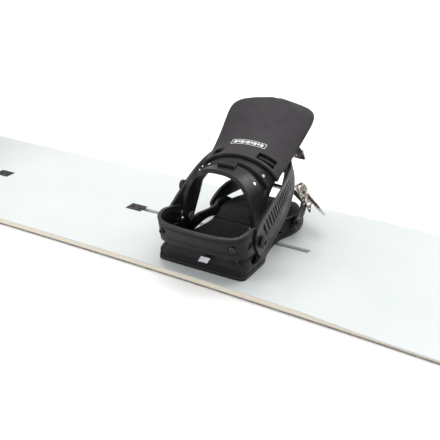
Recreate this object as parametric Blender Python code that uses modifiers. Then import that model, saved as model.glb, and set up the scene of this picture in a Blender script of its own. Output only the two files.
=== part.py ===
"""Snowboard with two strap bindings, in metres.

X runs along the board, +Y towards the toe edge, +Z up. The origin is on the running base,
under the middle of the board. The front binding stands at +X. The rear one is its mirror image.
Every binding piece is drawn in the binding's own frame, whose origin is on the deck.
"""
from math import cos, pi, radians, sin

import bmesh
import bpy
from mathutils import Matrix, Vector

GAP = 0.0003              # room kept between pieces that touch

# Board
CONTACT = 0.610           # half length of the flat running base
TIP = 0.180               # length of each upturned tip
WAIST = 0.252             # width at the middle
SIDECUT = 12.0            # radius of the side cut
TIP_RADIUS = 0.42         # bend radius of the tips
TIP_SHAPE = 2.3           # roundness of the tips' outline
THICK = 0.0092            # thickness between the feet
THIN = 0.0048             # thickness of the tips
TAPER = (0.43, 0.56)      # where the core thins
EDGE = 0.0020             # steel edge, width and height
TOP_SKIN = 0.0008         # top sheet thickness

# Channels in the deck
CHANNEL_HALF = 0.144      # half length
CHANNEL_X = 0.2610        # distance of their middles from the board's middle
SLOT = 0.0085             # mouth of the slot in the top sheet
RAIL = (0.0190, 0.0056)   # width and height of the rail set into the core
NECK = 0.0072             # mouth of the rail
PLUG = (0.026, 0.0185)    # plug at the inner end, length and width
PLUG_X = 0.131            # its middle, from the channel's middle

# Binding
STANCE = 0.610            # distance between the two bindings' middles
HEEL_Y = -0.078           # where the side walls turn into the heel curve
HEEL_DEPTH = 0.039        # from there to the back of the heel
HEEL_SHAPE = 4.6          # roundness of the heel curve
FOOT_SHAPE = 6.0          # squarer by this at the foot of the wall
FOOT_IN = 0.0050          # and this much shallower
TOE_Y = 0.104             # front end of the base plate
WALL_END = 0.078          # front end of the side walls
FLOOR = 0.0053            # top of the base plate's floor
WALL = 0.0040             # side wall thickness
HOOP = 0.0050             # heel hoop thickness
SEAT = HOOP + GAP         # how far the wall steps in behind the hoop
FOOTBED = (0.0097, 0.0185)
BOLT_X = 0.034            # channel bolts, from the binding's middle

# Joint axes, all along X but for the levers
HIGHBACK_AXIS = Vector((0.0, -0.058, 0.042))
ANKLE_AXIS = Vector((0.0, -0.072, 0.038))
TOE_AXIS = Vector((0.0, 0.034, 0.0185))

# Half width of the base plate along the foot
BASE_HALF = ((-0.078, 0.0625), (-0.056, 0.0620), (-0.040, 0.0560), (-0.018, 0.0520), (0.008, 0.0515),
             (0.034, 0.0595), (0.056, 0.0605), (0.078, 0.0545), (0.094, 0.0450), (0.104, 0.0300))
WALL_TOP = ((-0.116, 0.040), (-0.062, 0.036), (-0.024, 0.032), (0.006, 0.029), (0.040, 0.026),
            (0.058, 0.022), (0.078, 0.009))
HOOP_TOP = ((-0.117, 0.0575), (-0.100, 0.0625), (-0.084, 0.0610), (-0.060, 0.0540), (-0.048, 0.0490),
            (-0.038, 0.0400))
HOOP_LOW = ((-0.117, 0.0290), (-0.090, 0.0285), (-0.060, 0.0275), (-0.038, 0.0310))
HOOP_LEAN = 0.0100        # how far the hoop's rim overhangs at the back
HOOP_ROUND = 0.0680       # and how far from the middle that overhang would end

# Highback, folded forward: y, height of its middle line, half width, drop of its edges, arc angle
HIGHBACK = ((-0.066, 0.1150, 0.0500, 0.0775, 90), (-0.050, 0.1140, 0.0500, 0.0765, 90),
            (-0.038, 0.1135, 0.0505, 0.0600, 88), (-0.022, 0.1135, 0.0510, 0.0330, 80),
            (-0.004, 0.1150, 0.0520, 0.0200, 70), (0.020, 0.1200, 0.0540, 0.0155, 60),
            (0.050, 0.1315, 0.0575, 0.0120, 52), (0.078, 0.1455, 0.0610, 0.0090, 48),
            (0.094, 0.1540, 0.0615, 0.0075, 45), (0.112, 0.1630, 0.0605, 0.0060, 45))
PANEL_END = 0.105         # front edge of the panel
SKEW = 0.0050             # how far the panel's end leans towards the board's middle
CORNERS = 0.028           # length over which its corners are rounded
FRAME_T = 0.0040          # thickness of the highback's frame
PANEL_T = 0.0030          # thickness of the highback's panel
FRAME_END = 0.012         # front edge of the frame, under the panel
PANEL_START = -0.010      # back edge of the panel, over the frame

# A strap's loop over the boot: half width, mount (y, z), top (y, z), roundness, tilt of its width
# bulge is how far its sides bow out between the mounts and the top
# lift is the height of the ladder's underside over the loop where it runs through the buckle
ARM_T = 0.0034            # thickness of the straps' arms
LADDER_T = 0.0024         # thickness of the toothed ladders
PAD_T = 0.0070            # thickness of the ankle pad
ANKLE = {"half": 0.0636, "mount": (-0.072, 0.038), "top": (0.055, 0.1080), "shape": 2.8, "tilt": 31, "crown": 0,
         "bulge": 0.006, "lift": 0.0}
PAD = dict(ANKLE, mount=(-0.0668, 0.0294), top=(0.0602, 0.0994))
TOE = {"half": 0.0625, "mount": (0.034, 0.0185), "top": (0.082, 0.0410), "shape": 2.6, "tilt": 26, "crown": 34,
       "bulge": 0.0, "lift": ARM_T + GAP}

# Ratchet buckles: place on the loop; length, inner width and height
ANKLE_BUCKLE = 0.17
TOE_BUCKLE = 0.56
ANKLE_REACH = 0.036       # lever length from its pin
TOE_REACH = 0.044
ANKLE_SIZE = (0.034, 0.0205, 0.0125)
TOE_SIZE = (0.038, 0.0190, 0.0150)
CHEEK = 0.0018            # thickness of a buckle's cheeks
LEVER_AT = -0.007         # lever pin, along the loop from the buckle's middle
BARREL = 0.0033           # radius of the lever round its pin
SILVER = (0.72, 0.68, 0.64)


def clear_scene():
    for obj in list(bpy.data.objects):
        bpy.data.objects.remove(obj, do_unlink=True)


def new_collection(name):
    group = bpy.data.collections.new(name)
    bpy.context.scene.collection.children.link(group)
    return group


def material(name, color, roughness, metallic=0.0):
    mat = bpy.data.materials.new(name)
    mat.use_nodes = True
    shader = mat.node_tree.nodes["Principled BSDF"]
    shader.inputs["Base Color"].default_value = (*color, 1.0)
    shader.inputs["Roughness"].default_value = roughness
    shader.inputs["Metallic"].default_value = metallic
    return mat


def along(table, x, column=1):
    """Smooth value at x through the rows of a table whose first column is x."""
    if x <= table[0][0]:
        return table[0][column]
    if x >= table[-1][0]:
        return table[-1][column]
    k = max(i for i in range(len(table) - 1) if table[i][0] <= x)
    x0, x1 = table[k][0], table[k + 1][0]
    y0, y1 = table[k][column], table[k + 1][column]

    def slope(i):
        a, b = max(i - 1, 0), min(i + 1, len(table) - 1)
        return (table[b][column] - table[a][column]) / (table[b][0] - table[a][0])

    t, span = (x - x0) / (x1 - x0), x1 - x0
    return (y0 * (1 + 2 * t) * (1 - t) ** 2 + y1 * t * t * (3 - 2 * t)
            + slope(k) * span * t * (1 - t) ** 2 - slope(k + 1) * span * t * t * (1 - t))


def ease(x, low, high):
    t = min(max((x - low) / (high - low), 0.0), 1.0)
    return t * t * (3 - 2 * t)


def power(value, shape):
    """Signed superellipse coordinate of a sine or cosine."""
    return (1 if value >= 0 else -1) * abs(value) ** (2 / shape)


def add(name, bm, color, roughness, metallic=0.0, smooth=True):
    """Make an object of a bmesh, with its own material."""
    bmesh.ops.recalc_face_normals(bm, faces=bm.faces)
    mesh = bpy.data.meshes.new(name)
    bm.to_mesh(mesh)
    bm.free()
    obj = bpy.data.objects.new(name, mesh)
    PARTS.objects.link(obj)
    mesh.materials.append(material(name, color, roughness, metallic))
    if smooth:
        mesh.shade_smooth()
        mesh.set_sharp_from_angle(angle=radians(35))
    return obj


def as_cutter(obj):
    """Move an object to the cutters' collection, as a wire that isn't rendered."""
    PARTS.objects.unlink(obj)
    CUTTERS.objects.link(obj)
    obj.hide_render = True
    obj.display_type = 'WIRE'
    return obj


def boolean(obj, other, operation='DIFFERENCE'):
    mod = obj.modifiers.new(other.name, 'BOOLEAN')
    mod.operation = operation
    mod.solver = 'EXACT'
    mod.object = as_cutter(other) if other.name not in CUTTERS.objects else other


def bevel(obj, width, segments=2):
    mod = obj.modifiers.new("edges", 'BEVEL')
    mod.width = width
    mod.segments = segments
    mod.limit_method = 'ANGLE'
    mod.angle_limit = radians(50)


def box(name, low, high, color=(0.5, 0.5, 0.5), roughness=0.5, metallic=0.0):
    bm = bmesh.new()
    size = Vector(high) - Vector(low)
    middle = (Vector(high) + Vector(low)) / 2
    bmesh.ops.create_cube(bm, size=1.0, matrix=Matrix.Translation(middle) @ Matrix.Diagonal((*size, 1.0)))
    return add(name, bm, color, roughness, metallic, smooth=False)


def slab(name, outline, low, high, axis="Z", color=(0.5, 0.5, 0.5), roughness=0.5, metallic=0.0):
    """A flat outline, filled as a 2D curve, between two levels on Z, or on X for a (y, z) outline."""
    curve = bpy.data.curves.new(name, 'CURVE')
    curve.dimensions = '2D'
    curve.fill_mode = 'BOTH'
    curve.extrude = (high - low) / 2
    spline = curve.splines.new('POLY')
    spline.points.add(len(outline) - 1)
    for point, (a, b) in zip(spline.points, outline):
        point.co = (a, b, 0.0, 1.0)
    spline.use_cyclic_u = True
    source = bpy.data.objects.new(name + "_curve", curve)
    PARTS.objects.link(source)
    turn = Matrix(((0, 0, 1, 0), (1, 0, 0, 0), (0, 1, 0, 0), (0, 0, 0, 1))) if axis == "X" else Matrix()
    source.matrix_world = turn @ Matrix.Translation((0, 0, (high + low) / 2))
    bpy.context.view_layer.update()
    shape = source.evaluated_get(bpy.context.evaluated_depsgraph_get())
    mesh = bpy.data.meshes.new_from_object(shape)
    mesh.transform(source.matrix_world)
    bm = bmesh.new()
    bm.from_mesh(mesh)
    bmesh.ops.remove_doubles(bm, verts=bm.verts, dist=0.00001)
    bpy.data.objects.remove(source, do_unlink=True)
    bpy.data.meshes.remove(mesh)
    return add(name, bm, color, roughness, metallic, smooth=False)


def rod(name, radius, start, end, sides=14):
    """A plain cylinder from one point to another, for holes."""
    start, end = Vector(start), Vector(end)
    turn = Vector((0, 0, 1)).rotation_difference(end - start).to_matrix().to_4x4()
    place = Matrix.Translation((start + end) / 2) @ turn
    bm = bmesh.new()
    bmesh.ops.create_cone(bm, cap_ends=True, segments=sides, radius1=radius, radius2=radius,
                          depth=(end - start).length, matrix=place)
    return add(name, bm, (0.5, 0.5, 0.5), 0.5)


def turned(name, profile, place, axis, color, roughness, metallic, steps=14):
    """A profile of (radius, height) rows, from top to bottom, turned about an axis."""
    bm = bmesh.new()
    points = [bm.verts.new((r, 0.0, h)) for r, h in profile]
    for a, b in zip(points, points[1:]):
        bm.edges.new((a, b))
    obj = add(name, bm, color, roughness, metallic)
    mod = obj.modifiers.new("turn", 'SCREW')
    mod.axis = 'Z'
    mod.steps = mod.render_steps = steps
    mod.use_merge_vertices = True
    mod.merge_threshold = 0.00001
    obj.location = place
    obj.rotation_mode = 'QUATERNION'
    obj.rotation_quaternion = Vector((0, 0, 1)).rotation_difference(Vector(axis))
    return obj


def sheet(name, surface, across, down, thickness, color, roughness, metallic=0.0, offset=-1.0):
    """An open surface(u, v), with u and v from 0 to 1, given its thickness by Solidify."""
    bm = bmesh.new()
    grid = [[bm.verts.new(surface(i / across, j / down)) for j in range(down + 1)] for i in range(across + 1)]
    for i in range(across):
        for j in range(down):
            bm.faces.new((grid[i][j], grid[i + 1][j], grid[i + 1][j + 1], grid[i][j + 1]))
    mesh = bpy.data.meshes.new(name)
    bm.to_mesh(mesh)
    bm.free()
    obj = bpy.data.objects.new(name, mesh)
    PARTS.objects.link(obj)
    mesh.materials.append(material(name, color, roughness, metallic))
    mesh.shade_smooth()
    mesh.set_sharp_from_angle(angle=radians(35))
    mod = obj.modifiers.new("thickness", 'SOLIDIFY')
    mod.thickness = thickness
    mod.offset = offset
    mod.use_even_offset = True
    return obj


# ---------------------------------------------------------------- board

def board_stations(inset):
    """(x, half width) along the board from its middle to the end of a tip."""
    flat = [i / 12 * CONTACT for i in range(12)]
    rows = [(x, WAIST / 2 + x * x / (2 * SIDECUT) - inset) for x in flat]
    widest = WAIST / 2 + CONTACT ** 2 / (2 * SIDECUT) - inset
    steps = 14
    for k in range(steps + 1):
        t = pi / 2 * min(k / steps, 0.985)
        rows.append((CONTACT + (TIP - inset) * power(sin(t), TIP_SHAPE), widest * power(cos(t), TIP_SHAPE)))
    return rows


def whole_board(inset):
    half = board_stations(inset)
    return [(-x, w) for x, w in reversed(half[1:])] + half


def rise(x):
    return max(abs(x) - CONTACT, 0.0) ** 2 / (2 * TIP_RADIUS)


def thickness(x):
    return THICK + (THIN - THICK) * ease(abs(x), *TAPER)


def board_layer(name, inset, low, high, color, roughness):
    """One layer of the board, lofted from tip to tip between two heights over the base."""
    bm = bmesh.new()
    rings = []
    for x, w in whole_board(inset):
        corners = ((-w, low(x)), (w, low(x)), (w, high(x)), (-w, high(x)))
        rings.append([bm.verts.new((x, y, rise(x) + z)) for y, z in corners])
    for a, b in zip(rings, rings[1:]):
        for k in range(4):
            bm.faces.new((a[k], a[(k + 1) % 4], b[(k + 1) % 4], b[k]))
    bm.faces.new(rings[0])
    bm.faces.new(rings[-1])
    return add(name, bm, color, roughness)


def steel_edge():
    """One steel strip round the base, square in section."""
    bm = bmesh.new()
    outer, inner = whole_board(0.0), whole_board(EDGE)
    loop = [(o, i, 1) for o, i in zip(outer, inner)] + [(o, i, -1) for o, i in reversed(list(zip(outer, inner)))]
    rings = []
    for (xo, wo), (xi, wi), side in loop:
        rings.append([bm.verts.new(p) for p in ((xo, side * wo, rise(xo)), (xo, side * wo, rise(xo) + EDGE),
                                                (xi, side * wi, rise(xi) + EDGE), (xi, side * wi, rise(xi)))])
    for a, b in zip(rings, rings[1:] + rings[:1]):
        for k in range(4):
            bm.faces.new((a[k], a[(k + 1) % 4], b[(k + 1) % 4], b[k]))
    return add("steel_edge", bm, (0.30, 0.28, 0.26), 0.35, 1.0)


def round_slot(x, half_length, width, steps=8):
    """Outline of a slot with round ends, along X."""
    r = width / 2
    right = [(x + half_length - r + r * cos(a), r * sin(a)) for a in
             (-pi / 2 + pi * k / steps for k in range(steps + 1))]
    return right + [(2 * x - a, -b) for a, b in right]


def build_board():
    deck = THICK
    board_layer("base_sheet", EDGE + GAP, lambda x: 0.0, lambda x: EDGE - 0.0001, (0.05, 0.05, 0.055), 0.3)
    steel_edge()
    core = board_layer("core_and_sidewalls", 0.0, lambda x: EDGE + GAP,
                       lambda x: thickness(x) - TOP_SKIN - GAP, (0.78, 0.73, 0.62), 0.5)
    skin = board_layer("top_sheet", 0.0, lambda x: thickness(x) - TOP_SKIN, thickness, (0.77, 0.81, 0.80), 0.35)
    rail_top = deck - TOP_SKIN - GAP
    rail_low = rail_top - RAIL[1]
    for side, label in ((1, "front"), (-1, "rear")):
        x = side * CHANNEL_X
        plug_x = x - side * PLUG_X
        half_w = RAIL[0] / 2
        pocket = box(label + "_pocket", (x - CHANNEL_HALF - GAP, -half_w - GAP, rail_low - GAP),
                     (x + CHANNEL_HALF + GAP, half_w + GAP, deck))
        boolean(core, pocket)
        rail = box(label + "_channel_rail", (x - CHANNEL_HALF, -half_w, rail_low),
                   (x + CHANNEL_HALF, half_w, rail_top), (0.55, 0.56, 0.57), 0.4, 0.6)
        reach = CHANNEL_HALF - 0.003
        hollow = box(label + "_rail_hollow", (x - reach, -0.0063, rail_low + 0.0012),
                     (x + reach, 0.0063, rail_top - 0.0018))
        boolean(rail, hollow)
        neck = slab(label + "_rail_neck", round_slot(x, reach, NECK), rail_low + 0.0022, deck)
        boolean(rail, neck)
        mouth = box(label + "_rail_mouth", (plug_x - 0.009, -0.0063, rail_low + 0.0016),
                    (plug_x + 0.009, 0.0063, deck))
        boolean(rail, mouth)
        slot = slab(label + "_slot", round_slot(x, CHANNEL_HALF, SLOT), deck - 0.002, deck + 0.001)
        boolean(skin, slot)
        recess = box(label + "_plug_recess",
                     (plug_x - PLUG[0] / 2 - GAP, -PLUG[1] / 2 - GAP, deck - 0.002),
                     (plug_x + PLUG[0] / 2 + GAP, PLUG[1] / 2 + GAP, deck + 0.001))
        boolean(skin, recess)
        box(label + "_channel_plug", (plug_x - PLUG[0] / 2, -PLUG[1] / 2, rail_top + GAP),
            (plug_x + PLUG[0] / 2, PLUG[1] / 2, deck), (0.10, 0.10, 0.10), 0.6)


# ---------------------------------------------------------------- base plate and hoop

def base_plan(u, inset=0.0, foot=0.0):
    """Outline of the base plate: down the outer side, round the heel and up the inner side."""
    turn = 0.34
    if u < turn or u > 1 - turn:
        side = 1 if u < turn else -1
        t = u / turn if u < turn else (1 - u) / turn
        y = WALL_END + (HEEL_Y - WALL_END) * t
        return side * (along(BASE_HALF, y) - inset), y
    angle = pi * (u - turn) / (1 - 2 * turn)
    half = along(BASE_HALF, HEEL_Y) - inset
    shape = HEEL_SHAPE + FOOT_SHAPE * foot
    deep = HEEL_DEPTH - FOOT_IN * foot - inset
    return half * power(cos(angle), shape), HEEL_Y - deep * power(sin(angle), shape)


def base_wall(u, v):
    x, y = base_plan(u)
    z = 0.003 + (along(WALL_TOP, y) - 0.003) * v
    inset = 0.0008 + SEAT * ease(z, 0.012, 0.0255) * (1 - ease(y, -0.046, -0.026))
    x, y = base_plan(u, inset, 1 - ease(z, 0.009, 0.0255))
    return x, y, z


def base_plate():
    outline = [base_plan(k / 50, 0.0, 1.0) for k in range(51)]
    nose = [(along(BASE_HALF, y), y) for y in (0.086, 0.094, 0.100, TOE_Y)]
    outline = [(x, y) for x, y in reversed(nose)] + outline + [(-x, y) for x, y in nose]
    floor = slab("front_base_plate", outline, GAP, FLOOR, color=(0.028, 0.026, 0.029), roughness=0.5)
    wall = sheet("front_base_wall", base_wall, 50, 4, WALL, (0.1, 0.1, 0.1), 0.5, offset=1.0)
    boolean(floor, wall, 'UNION')
    oval = [(-0.079 + 0.011 * cos(a), 0.0155 + 0.0042 * sin(a)) for a in (2 * pi * k / 16 for k in range(16))]
    boolean(floor, slab("front_oval_window", oval, -0.09, 0.09, "X"))
    low = [(-0.044 + 0.060 * t, 0.0105 - 0.0015 * t) for t in (k / 6 for k in range(7))]
    high = [(-0.044 + 0.060 * t, 0.0105 - 0.0015 * t + 0.0095 * sin(pi * t) ** 0.8) for t in
            (1 - k / 8 for k in range(1, 8))]
    boolean(floor, slab("front_crescent_window", low + high, -0.09, 0.09, "X"))
    for side in (1, -1):
        x = side * BOLT_X
        boolean(floor, rod("front_floor_hole_%+d" % side, 0.0036, (x, 0, -0.002), (x, 0, 0.008)))
        y, z = TOE["mount"]
        boolean(floor, rod("front_toe_hole_%+d" % side, 0.0029, (side * 0.03, y, z), (side * 0.08, y, z)))
        y, z = ANKLE["mount"]
        boolean(floor, rod("front_wall_hole_%+d" % side, 0.0039, (side * 0.04, y, z), (side * 0.08, y, z)))
    return floor


def heel_hoop():
    def surface(u, v):
        x, y = base_plan(0.300 + 0.400 * u)
        low, high = along(HOOP_LOW, y), along(HOOP_TOP, y)
        lean = HOOP_LEAN * v * ease(-y, 0.094, 0.113) * (1 - (x / HOOP_ROUND) ** 2)
        x, y = base_plan(0.300 + 0.400 * u, -GAP - lean)
        return x, y, low + (high - low) * v
    hoop = sheet("front_heel_hoop", surface, 28, 2, HOOP, (0.030, 0.028, 0.031), 0.45, offset=1.0)
    for side in (1, -1):
        y, z = ANKLE["mount"]
        boolean(hoop, rod("front_hoop_hole_%+d" % side, 0.0039, (side * 0.04, y, z), (side * 0.08, y, z)))
        y, z = HIGHBACK_AXIS.yz
        boolean(hoop, rod("front_hoop_pin_hole_%+d" % side, 0.0041, (side * 0.04, y, z), (side * 0.08, y, z)))
    return hoop


def footbeds():
    low, high = FOOTBED
    inner = WALL + 0.0008 + SEAT + 0.0012

    def half(y):
        return along(BASE_HALF, y) - (inner if y < -0.03 else WALL + 0.0022)

    heel = [(half(HEEL_Y) * power(cos(a), HEEL_SHAPE), HEEL_Y - (HEEL_DEPTH - inner) * power(sin(a), HEEL_SHAPE))
            for a in (pi * k / 24 for k in range(25))]
    split = -0.003
    side = [(along(BASE_HALF, y) - inner, y) for y in (-0.050, -0.036, -0.020, split)]
    outline = [(x, y) for x, y in reversed(side)] + heel + [(-x, y) for x, y in side]
    rear = slab("front_heel_footbed", outline, low, high, color=(0.022, 0.020, 0.019), roughness=0.8)
    bevel(rear, 0.0012, 1)
    ys = (split + 0.0008, 0.010, 0.024, 0.036, 0.048, 0.060, 0.072, 0.082, 0.091, 0.098)
    side = [(along(BASE_HALF, y) - WALL - 0.0024, y) for y in ys]
    outline = [(-x, y) for x, y in side] + [(x, y) for x, y in reversed(side)]
    toe = slab("front_toe_footbed", outline, low, high, color=(0.022, 0.020, 0.019), roughness=0.8)
    bevel(toe, 0.0012, 1)


def channel_hardware():
    deck_to_nut = TOP_SKIN + GAP + 0.0018 + GAP
    for side, label in ((1, "outer"), (-1, "inner")):
        x = side * BOLT_X
        top = FLOOR + GAP + 0.0032
        profile = ((0.0, top), (0.0052, top), (0.0062, top - 0.0009), (0.0062, FLOOR + GAP),
                   (0.0030, FLOOR + GAP), (0.0030, -0.0052), (0.0, -0.0052))
        turned("front_%s_channel_bolt" % label, profile, (x, 0, 0), (0, 0, 1), (0.5, 0.5, 0.5), 0.3, 1.0)
        nut = box("front_%s_channel_nut" % label, (x - 0.007, -0.0058, -deck_to_nut - 0.0020),
                  (x + 0.007, 0.0058, -deck_to_nut), (0.45, 0.45, 0.46), 0.35, 1.0)
        boolean(nut, rod("front_nut_hole_%+d" % side, 0.0033, (x, 0, -0.02), (x, 0, 0.01)))


def side_bolts():
    """Bolts that hold the ankle strap to the hoop, the toe strap to the base, and the highback."""
    y, z = ANKLE["mount"]
    ty, tz = TOE["mount"]
    out = ANKLE["half"] + ARM_T + 0.0005
    toe_wall = along(BASE_HALF, ty)
    toe_out = TOE["half"] + ARM_T + 0.0005
    for side, label in ((1, "outer"), (-1, "inner")):
        profile = ((0.0, out + 0.0028), (0.0062, out + 0.0028), (0.0080, out + 0.0012), (0.0080, out),
                   (0.0035, out), (0.0035, 0.0530), (0.0, 0.0530))
        turned("front_%s_ankle_bolt" % label, profile, (0, y, z), (side, 0, 0), (0.05, 0.05, 0.05), 0.4, 0.4)
        profile = ((0.0, toe_out + 0.0024), (0.0045, toe_out + 0.0024), (0.0060, toe_out + 0.0010),
                   (0.0060, toe_out), (0.0025, toe_out), (0.0025, toe_wall - WALL), (0.0, toe_wall - WALL))
        turned("front_%s_toe_bolt" % label, profile, (0, ty, tz), (side, 0, 0), (0.05, 0.05, 0.05), 0.4, 0.4)
        leg = 0.0500 - FRAME_T - 0.0010
        profile = ((0.0, 0.0612), (0.0037, 0.0612), (0.0037, 0.0548), (0.0050, 0.0548), (0.0050, 0.0506),
                   (0.0037, 0.0506), (0.0037, leg), (0.0065, leg), (0.0065, leg - 0.0020), (0.0, leg - 0.0020))
        turned("front_%s_highback_pin" % label, profile, HIGHBACK_AXIS, (side, 0, 0), (0.4, 0.4, 0.4), 0.35, 0.9)


# ---------------------------------------------------------------- highback

def highback_point(y, s, out):
    """A point on the folded highback: s from -1 to 1 across it, out from its middle surface."""
    middle, half, drop, angle = (along(HIGHBACK, y, c) for c in (1, 2, 3, 4))
    shape = 2 + 0.6 * ease(-y, 0.022, 0.050)
    a = radians(angle)
    b = a * s
    corner = max(y - PANEL_END + CORNERS, 0.0) / CORNERS
    half *= max(1 - corner ** 4, 0.0) ** 0.25
    x = half * power(sin(b), shape) / power(sin(a), shape) - SKEW * ease(y, 0.0, PANEL_END)
    z = middle - drop * (1 - power(cos(b), shape)) / (1 - power(cos(a), shape))
    normal = Vector((sin(b), 0, cos(b)))
    return Vector((x, y, z)) + normal * out


def highback_frame():
    def surface(u, v):
        return highback_point(-0.066 + (FRAME_END + 0.066) * v, 2 * u - 1, 0.0)
    frame = sheet("front_highback_frame", surface, 22, 8, FRAME_T, (0.035, 0.033, 0.036), 0.42)
    y, z = HIGHBACK_AXIS.yz
    for side in (1, -1):
        boolean(frame, rod("front_leg_hole_%+d" % side, 0.0040, (side * 0.03, y, z), (side * 0.07, y, z)))
    boolean(frame, box("front_frame_window", (-0.0035, -0.038, 0.09), (0.0035, -0.024, 0.13)))
    return frame


def highback_panel():
    def surface(u, v):
        reach = (PANEL_END - PANEL_START) * 0.998
        return highback_point(PANEL_START + reach * sin(pi / 2 * v), 2 * u - 1, 0.0008)
    return sheet("front_highback_panel", surface, 16, 16, PANEL_T, (0.085, 0.076, 0.085), 0.5, offset=1.0)


def lean_adjuster():
    """Block on the back of the frame that sets how far the highback leans forward."""
    def surface(u, v):
        return highback_point(-0.0470 + 0.013 * v, (2 * u - 1) * 0.10, GAP)
    block = sheet("front_lean_adjuster", surface, 6, 3, 0.0040, (0.04, 0.04, 0.045), 0.5, offset=1.0)
    bevel(block, 0.0010, 1)


# ---------------------------------------------------------------- straps

def strap_line(loop, s):
    """Middle line of a strap's loop; s is -1 and 1 at its mounts and runs on past them."""
    y0, z0 = loop["mount"]
    y1, z1 = loop["top"]
    a = pi / 2 * min(max(s, -1.0), 1.0)
    x = loop["half"] * power(sin(a), loop["shape"]) + loop["bulge"] * sin(2 * a)
    h = power(cos(a), loop["shape"]) if abs(s) < 1 else 1 - abs(s)
    return Vector((x, y0 + (y1 - y0) * h, z0 + (z1 - z0) * h))


def strap_frame(loop, s):
    """Point, direction along the loop, direction across its width, and outward normal."""
    step = 0.01
    run = (strap_line(loop, s + step) - strap_line(loop, s - step)).normalized()
    tilt = radians(loop["tilt"] + loop["crown"] * max(1 - s * s, 0.0))
    across = Vector((0, -sin(tilt), cos(tilt)))
    across = (across - run * across.dot(run) * 0.6).normalized()
    normal = across.cross(run).normalized()
    return strap_line(loop, s), run, across, normal


def strap(name, loop, start, end, width, out, thick, color, roughness, steps=16):
    """A length of strap between two places on a loop; width and out are tables along s."""
    def surface(u, v):
        s = start + (end - start) * u
        point, run, across, normal = strap_frame(loop, s)
        return point + across * ((0.5 - v) * along(width, s)) + normal * along(out, s)
    return sheet(name, surface, steps, 2, thick, color, roughness, offset=1.0)


def mount_hole(obj, loop, side, radius, label):
    y, z = loop["mount"]
    boolean(obj, rod(label, radius, (side * 0.055, y, z), (side * 0.08, y, z)))


def buckle_place(loop, s):
    """Square frame of a buckle: along the loop, across it and outward, with its origin on the ladder."""
    point, run, across, normal = strap_frame(loop, s)
    across = normal.cross(run).normalized()
    place = Matrix((run, across, normal)).transposed().to_4x4()
    place.translation = point + normal * (loop["lift"] + GAP)
    return place


def block(name, place, low, high, color, metallic=0.0):
    """A box with its corners given in a placed frame."""
    size = Vector(high) - Vector(low)
    middle = (Vector(high) + Vector(low)) / 2
    bm = bmesh.new()
    bmesh.ops.create_cube(bm, size=1.0, matrix=place @ Matrix.Translation(middle) @ Matrix.Diagonal((*size, 1.0)))
    return add(name, bm, color, 0.3, metallic, smooth=False)


def buckle(prefix, place, size, color, metallic):
    """Two cheeks beside the ladder, joined over it by a bridge at the upper end."""
    length, inner, height = size
    half = inner / 2
    frame = block(prefix + "_buckle", place, (-length / 2, -half - CHEEK, 0), (length / 2, half + CHEEK, height),
                  color, metallic)
    boolean(frame, block(prefix + "_buckle_mouth", place, (-length, -half, -0.001),
                         (length, half, height - 0.0026), color))
    boolean(frame, block(prefix + "_buckle_gap", place, (LEVER_AT - BARREL - 0.0012, -half, 0.002),
                         (length, half, height + 0.002), color))
    boolean(frame, block(prefix + "_buckle_slope", place @ Matrix.Translation((length / 2, 0, height))
                         @ Matrix.Rotation(radians(24), 4, 'Y'), (-length, -0.05, 0), (length, 0.05, 0.02), color))


def lever(prefix, place, size, reach, color, metallic):
    """Ratchet lever between the cheeks and out past their end."""
    length, inner, height = size
    pin = height - BARREL - 0.0008
    outline = [(LEVER_AT + BARREL * cos(a), pin + BARREL * sin(a)) for a in
               (pi / 2 + 1.35 * pi * k / 8 for k in range(9))]
    outline += [(LEVER_AT + 0.45 * reach, pin - 0.0010), (LEVER_AT + reach, pin + 0.0052),
                (LEVER_AT + reach + 0.0012, pin + 0.0078), (LEVER_AT + 0.45 * reach, pin + 0.0030)]
    half = inner / 2 - GAP
    bm = bmesh.new()
    sides = [[bm.verts.new(place @ Vector((a, v, c))) for a, c in outline] for v in (-half, half)]
    count = len(outline)
    for k in range(count):
        bm.faces.new((sides[0][k], sides[0][(k + 1) % count], sides[1][(k + 1) % count], sides[1][k]))
    bm.faces.new(sides[0])
    bm.faces.new(sides[1])
    add(prefix + "_lever", bm, color, 0.28, metallic, smooth=False)


def lever_axis(loop, s, size):
    """Middle of a lever's pin, and the pin's direction."""
    place = buckle_place(loop, s)
    return place @ Vector((LEVER_AT, 0, size[2] - BARREL - 0.0008)), place.col[1].to_3d()


def ankle_strap():
    pad_width = ((-0.54, 0.026), (-0.36, 0.044), (0.0, 0.050), (0.34, 0.048), (0.60, 0.044), (0.82, 0.030))
    arm_width = ((-1.09, 0.018), (-1.05, 0.028), (-1.0, 0.033), (-0.9, 0.031), (-0.6, 0.025), (-0.36, 0.018))
    ladder_width = ((0.02, 0.018), (0.4, 0.019), (0.55, 0.026), (0.7, 0.038), (0.85, 0.048), (1.0, 0.048),
                    (1.05, 0.038), (1.09, 0.020))
    black = (0.035, 0.033, 0.034)
    strap("front_ankle_pad", PAD, -0.52, 0.80, pad_width, ((0, -GAP - PAD_T), (1, -GAP - PAD_T)), PAD_T,
          (0.03, 0.03, 0.032), 0.7)
    arm = strap("front_ankle_arm", ANKLE, -1.09, -0.36, arm_width, ((0, 0), (1, 0)), ARM_T, black, 0.5)
    mount_hole(arm, ANKLE, -1, 0.0038, "front_arm_hole")
    ladder = strap("front_ankle_ladder", ANKLE, 0.02, 1.09, ladder_width, ((0, 0), (1, 0)), LADDER_T, black, 0.5)
    mount_hole(ladder, ANKLE, 1, 0.0038, "front_ladder_hole")
    place = buckle_place(ANKLE, ANKLE_BUCKLE)
    buckle("front_ankle", place, ANKLE_SIZE, SILVER, 1.0)
    lever("front_ankle", place, ANKLE_SIZE, ANKLE_REACH, SILVER, 1.0)


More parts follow.
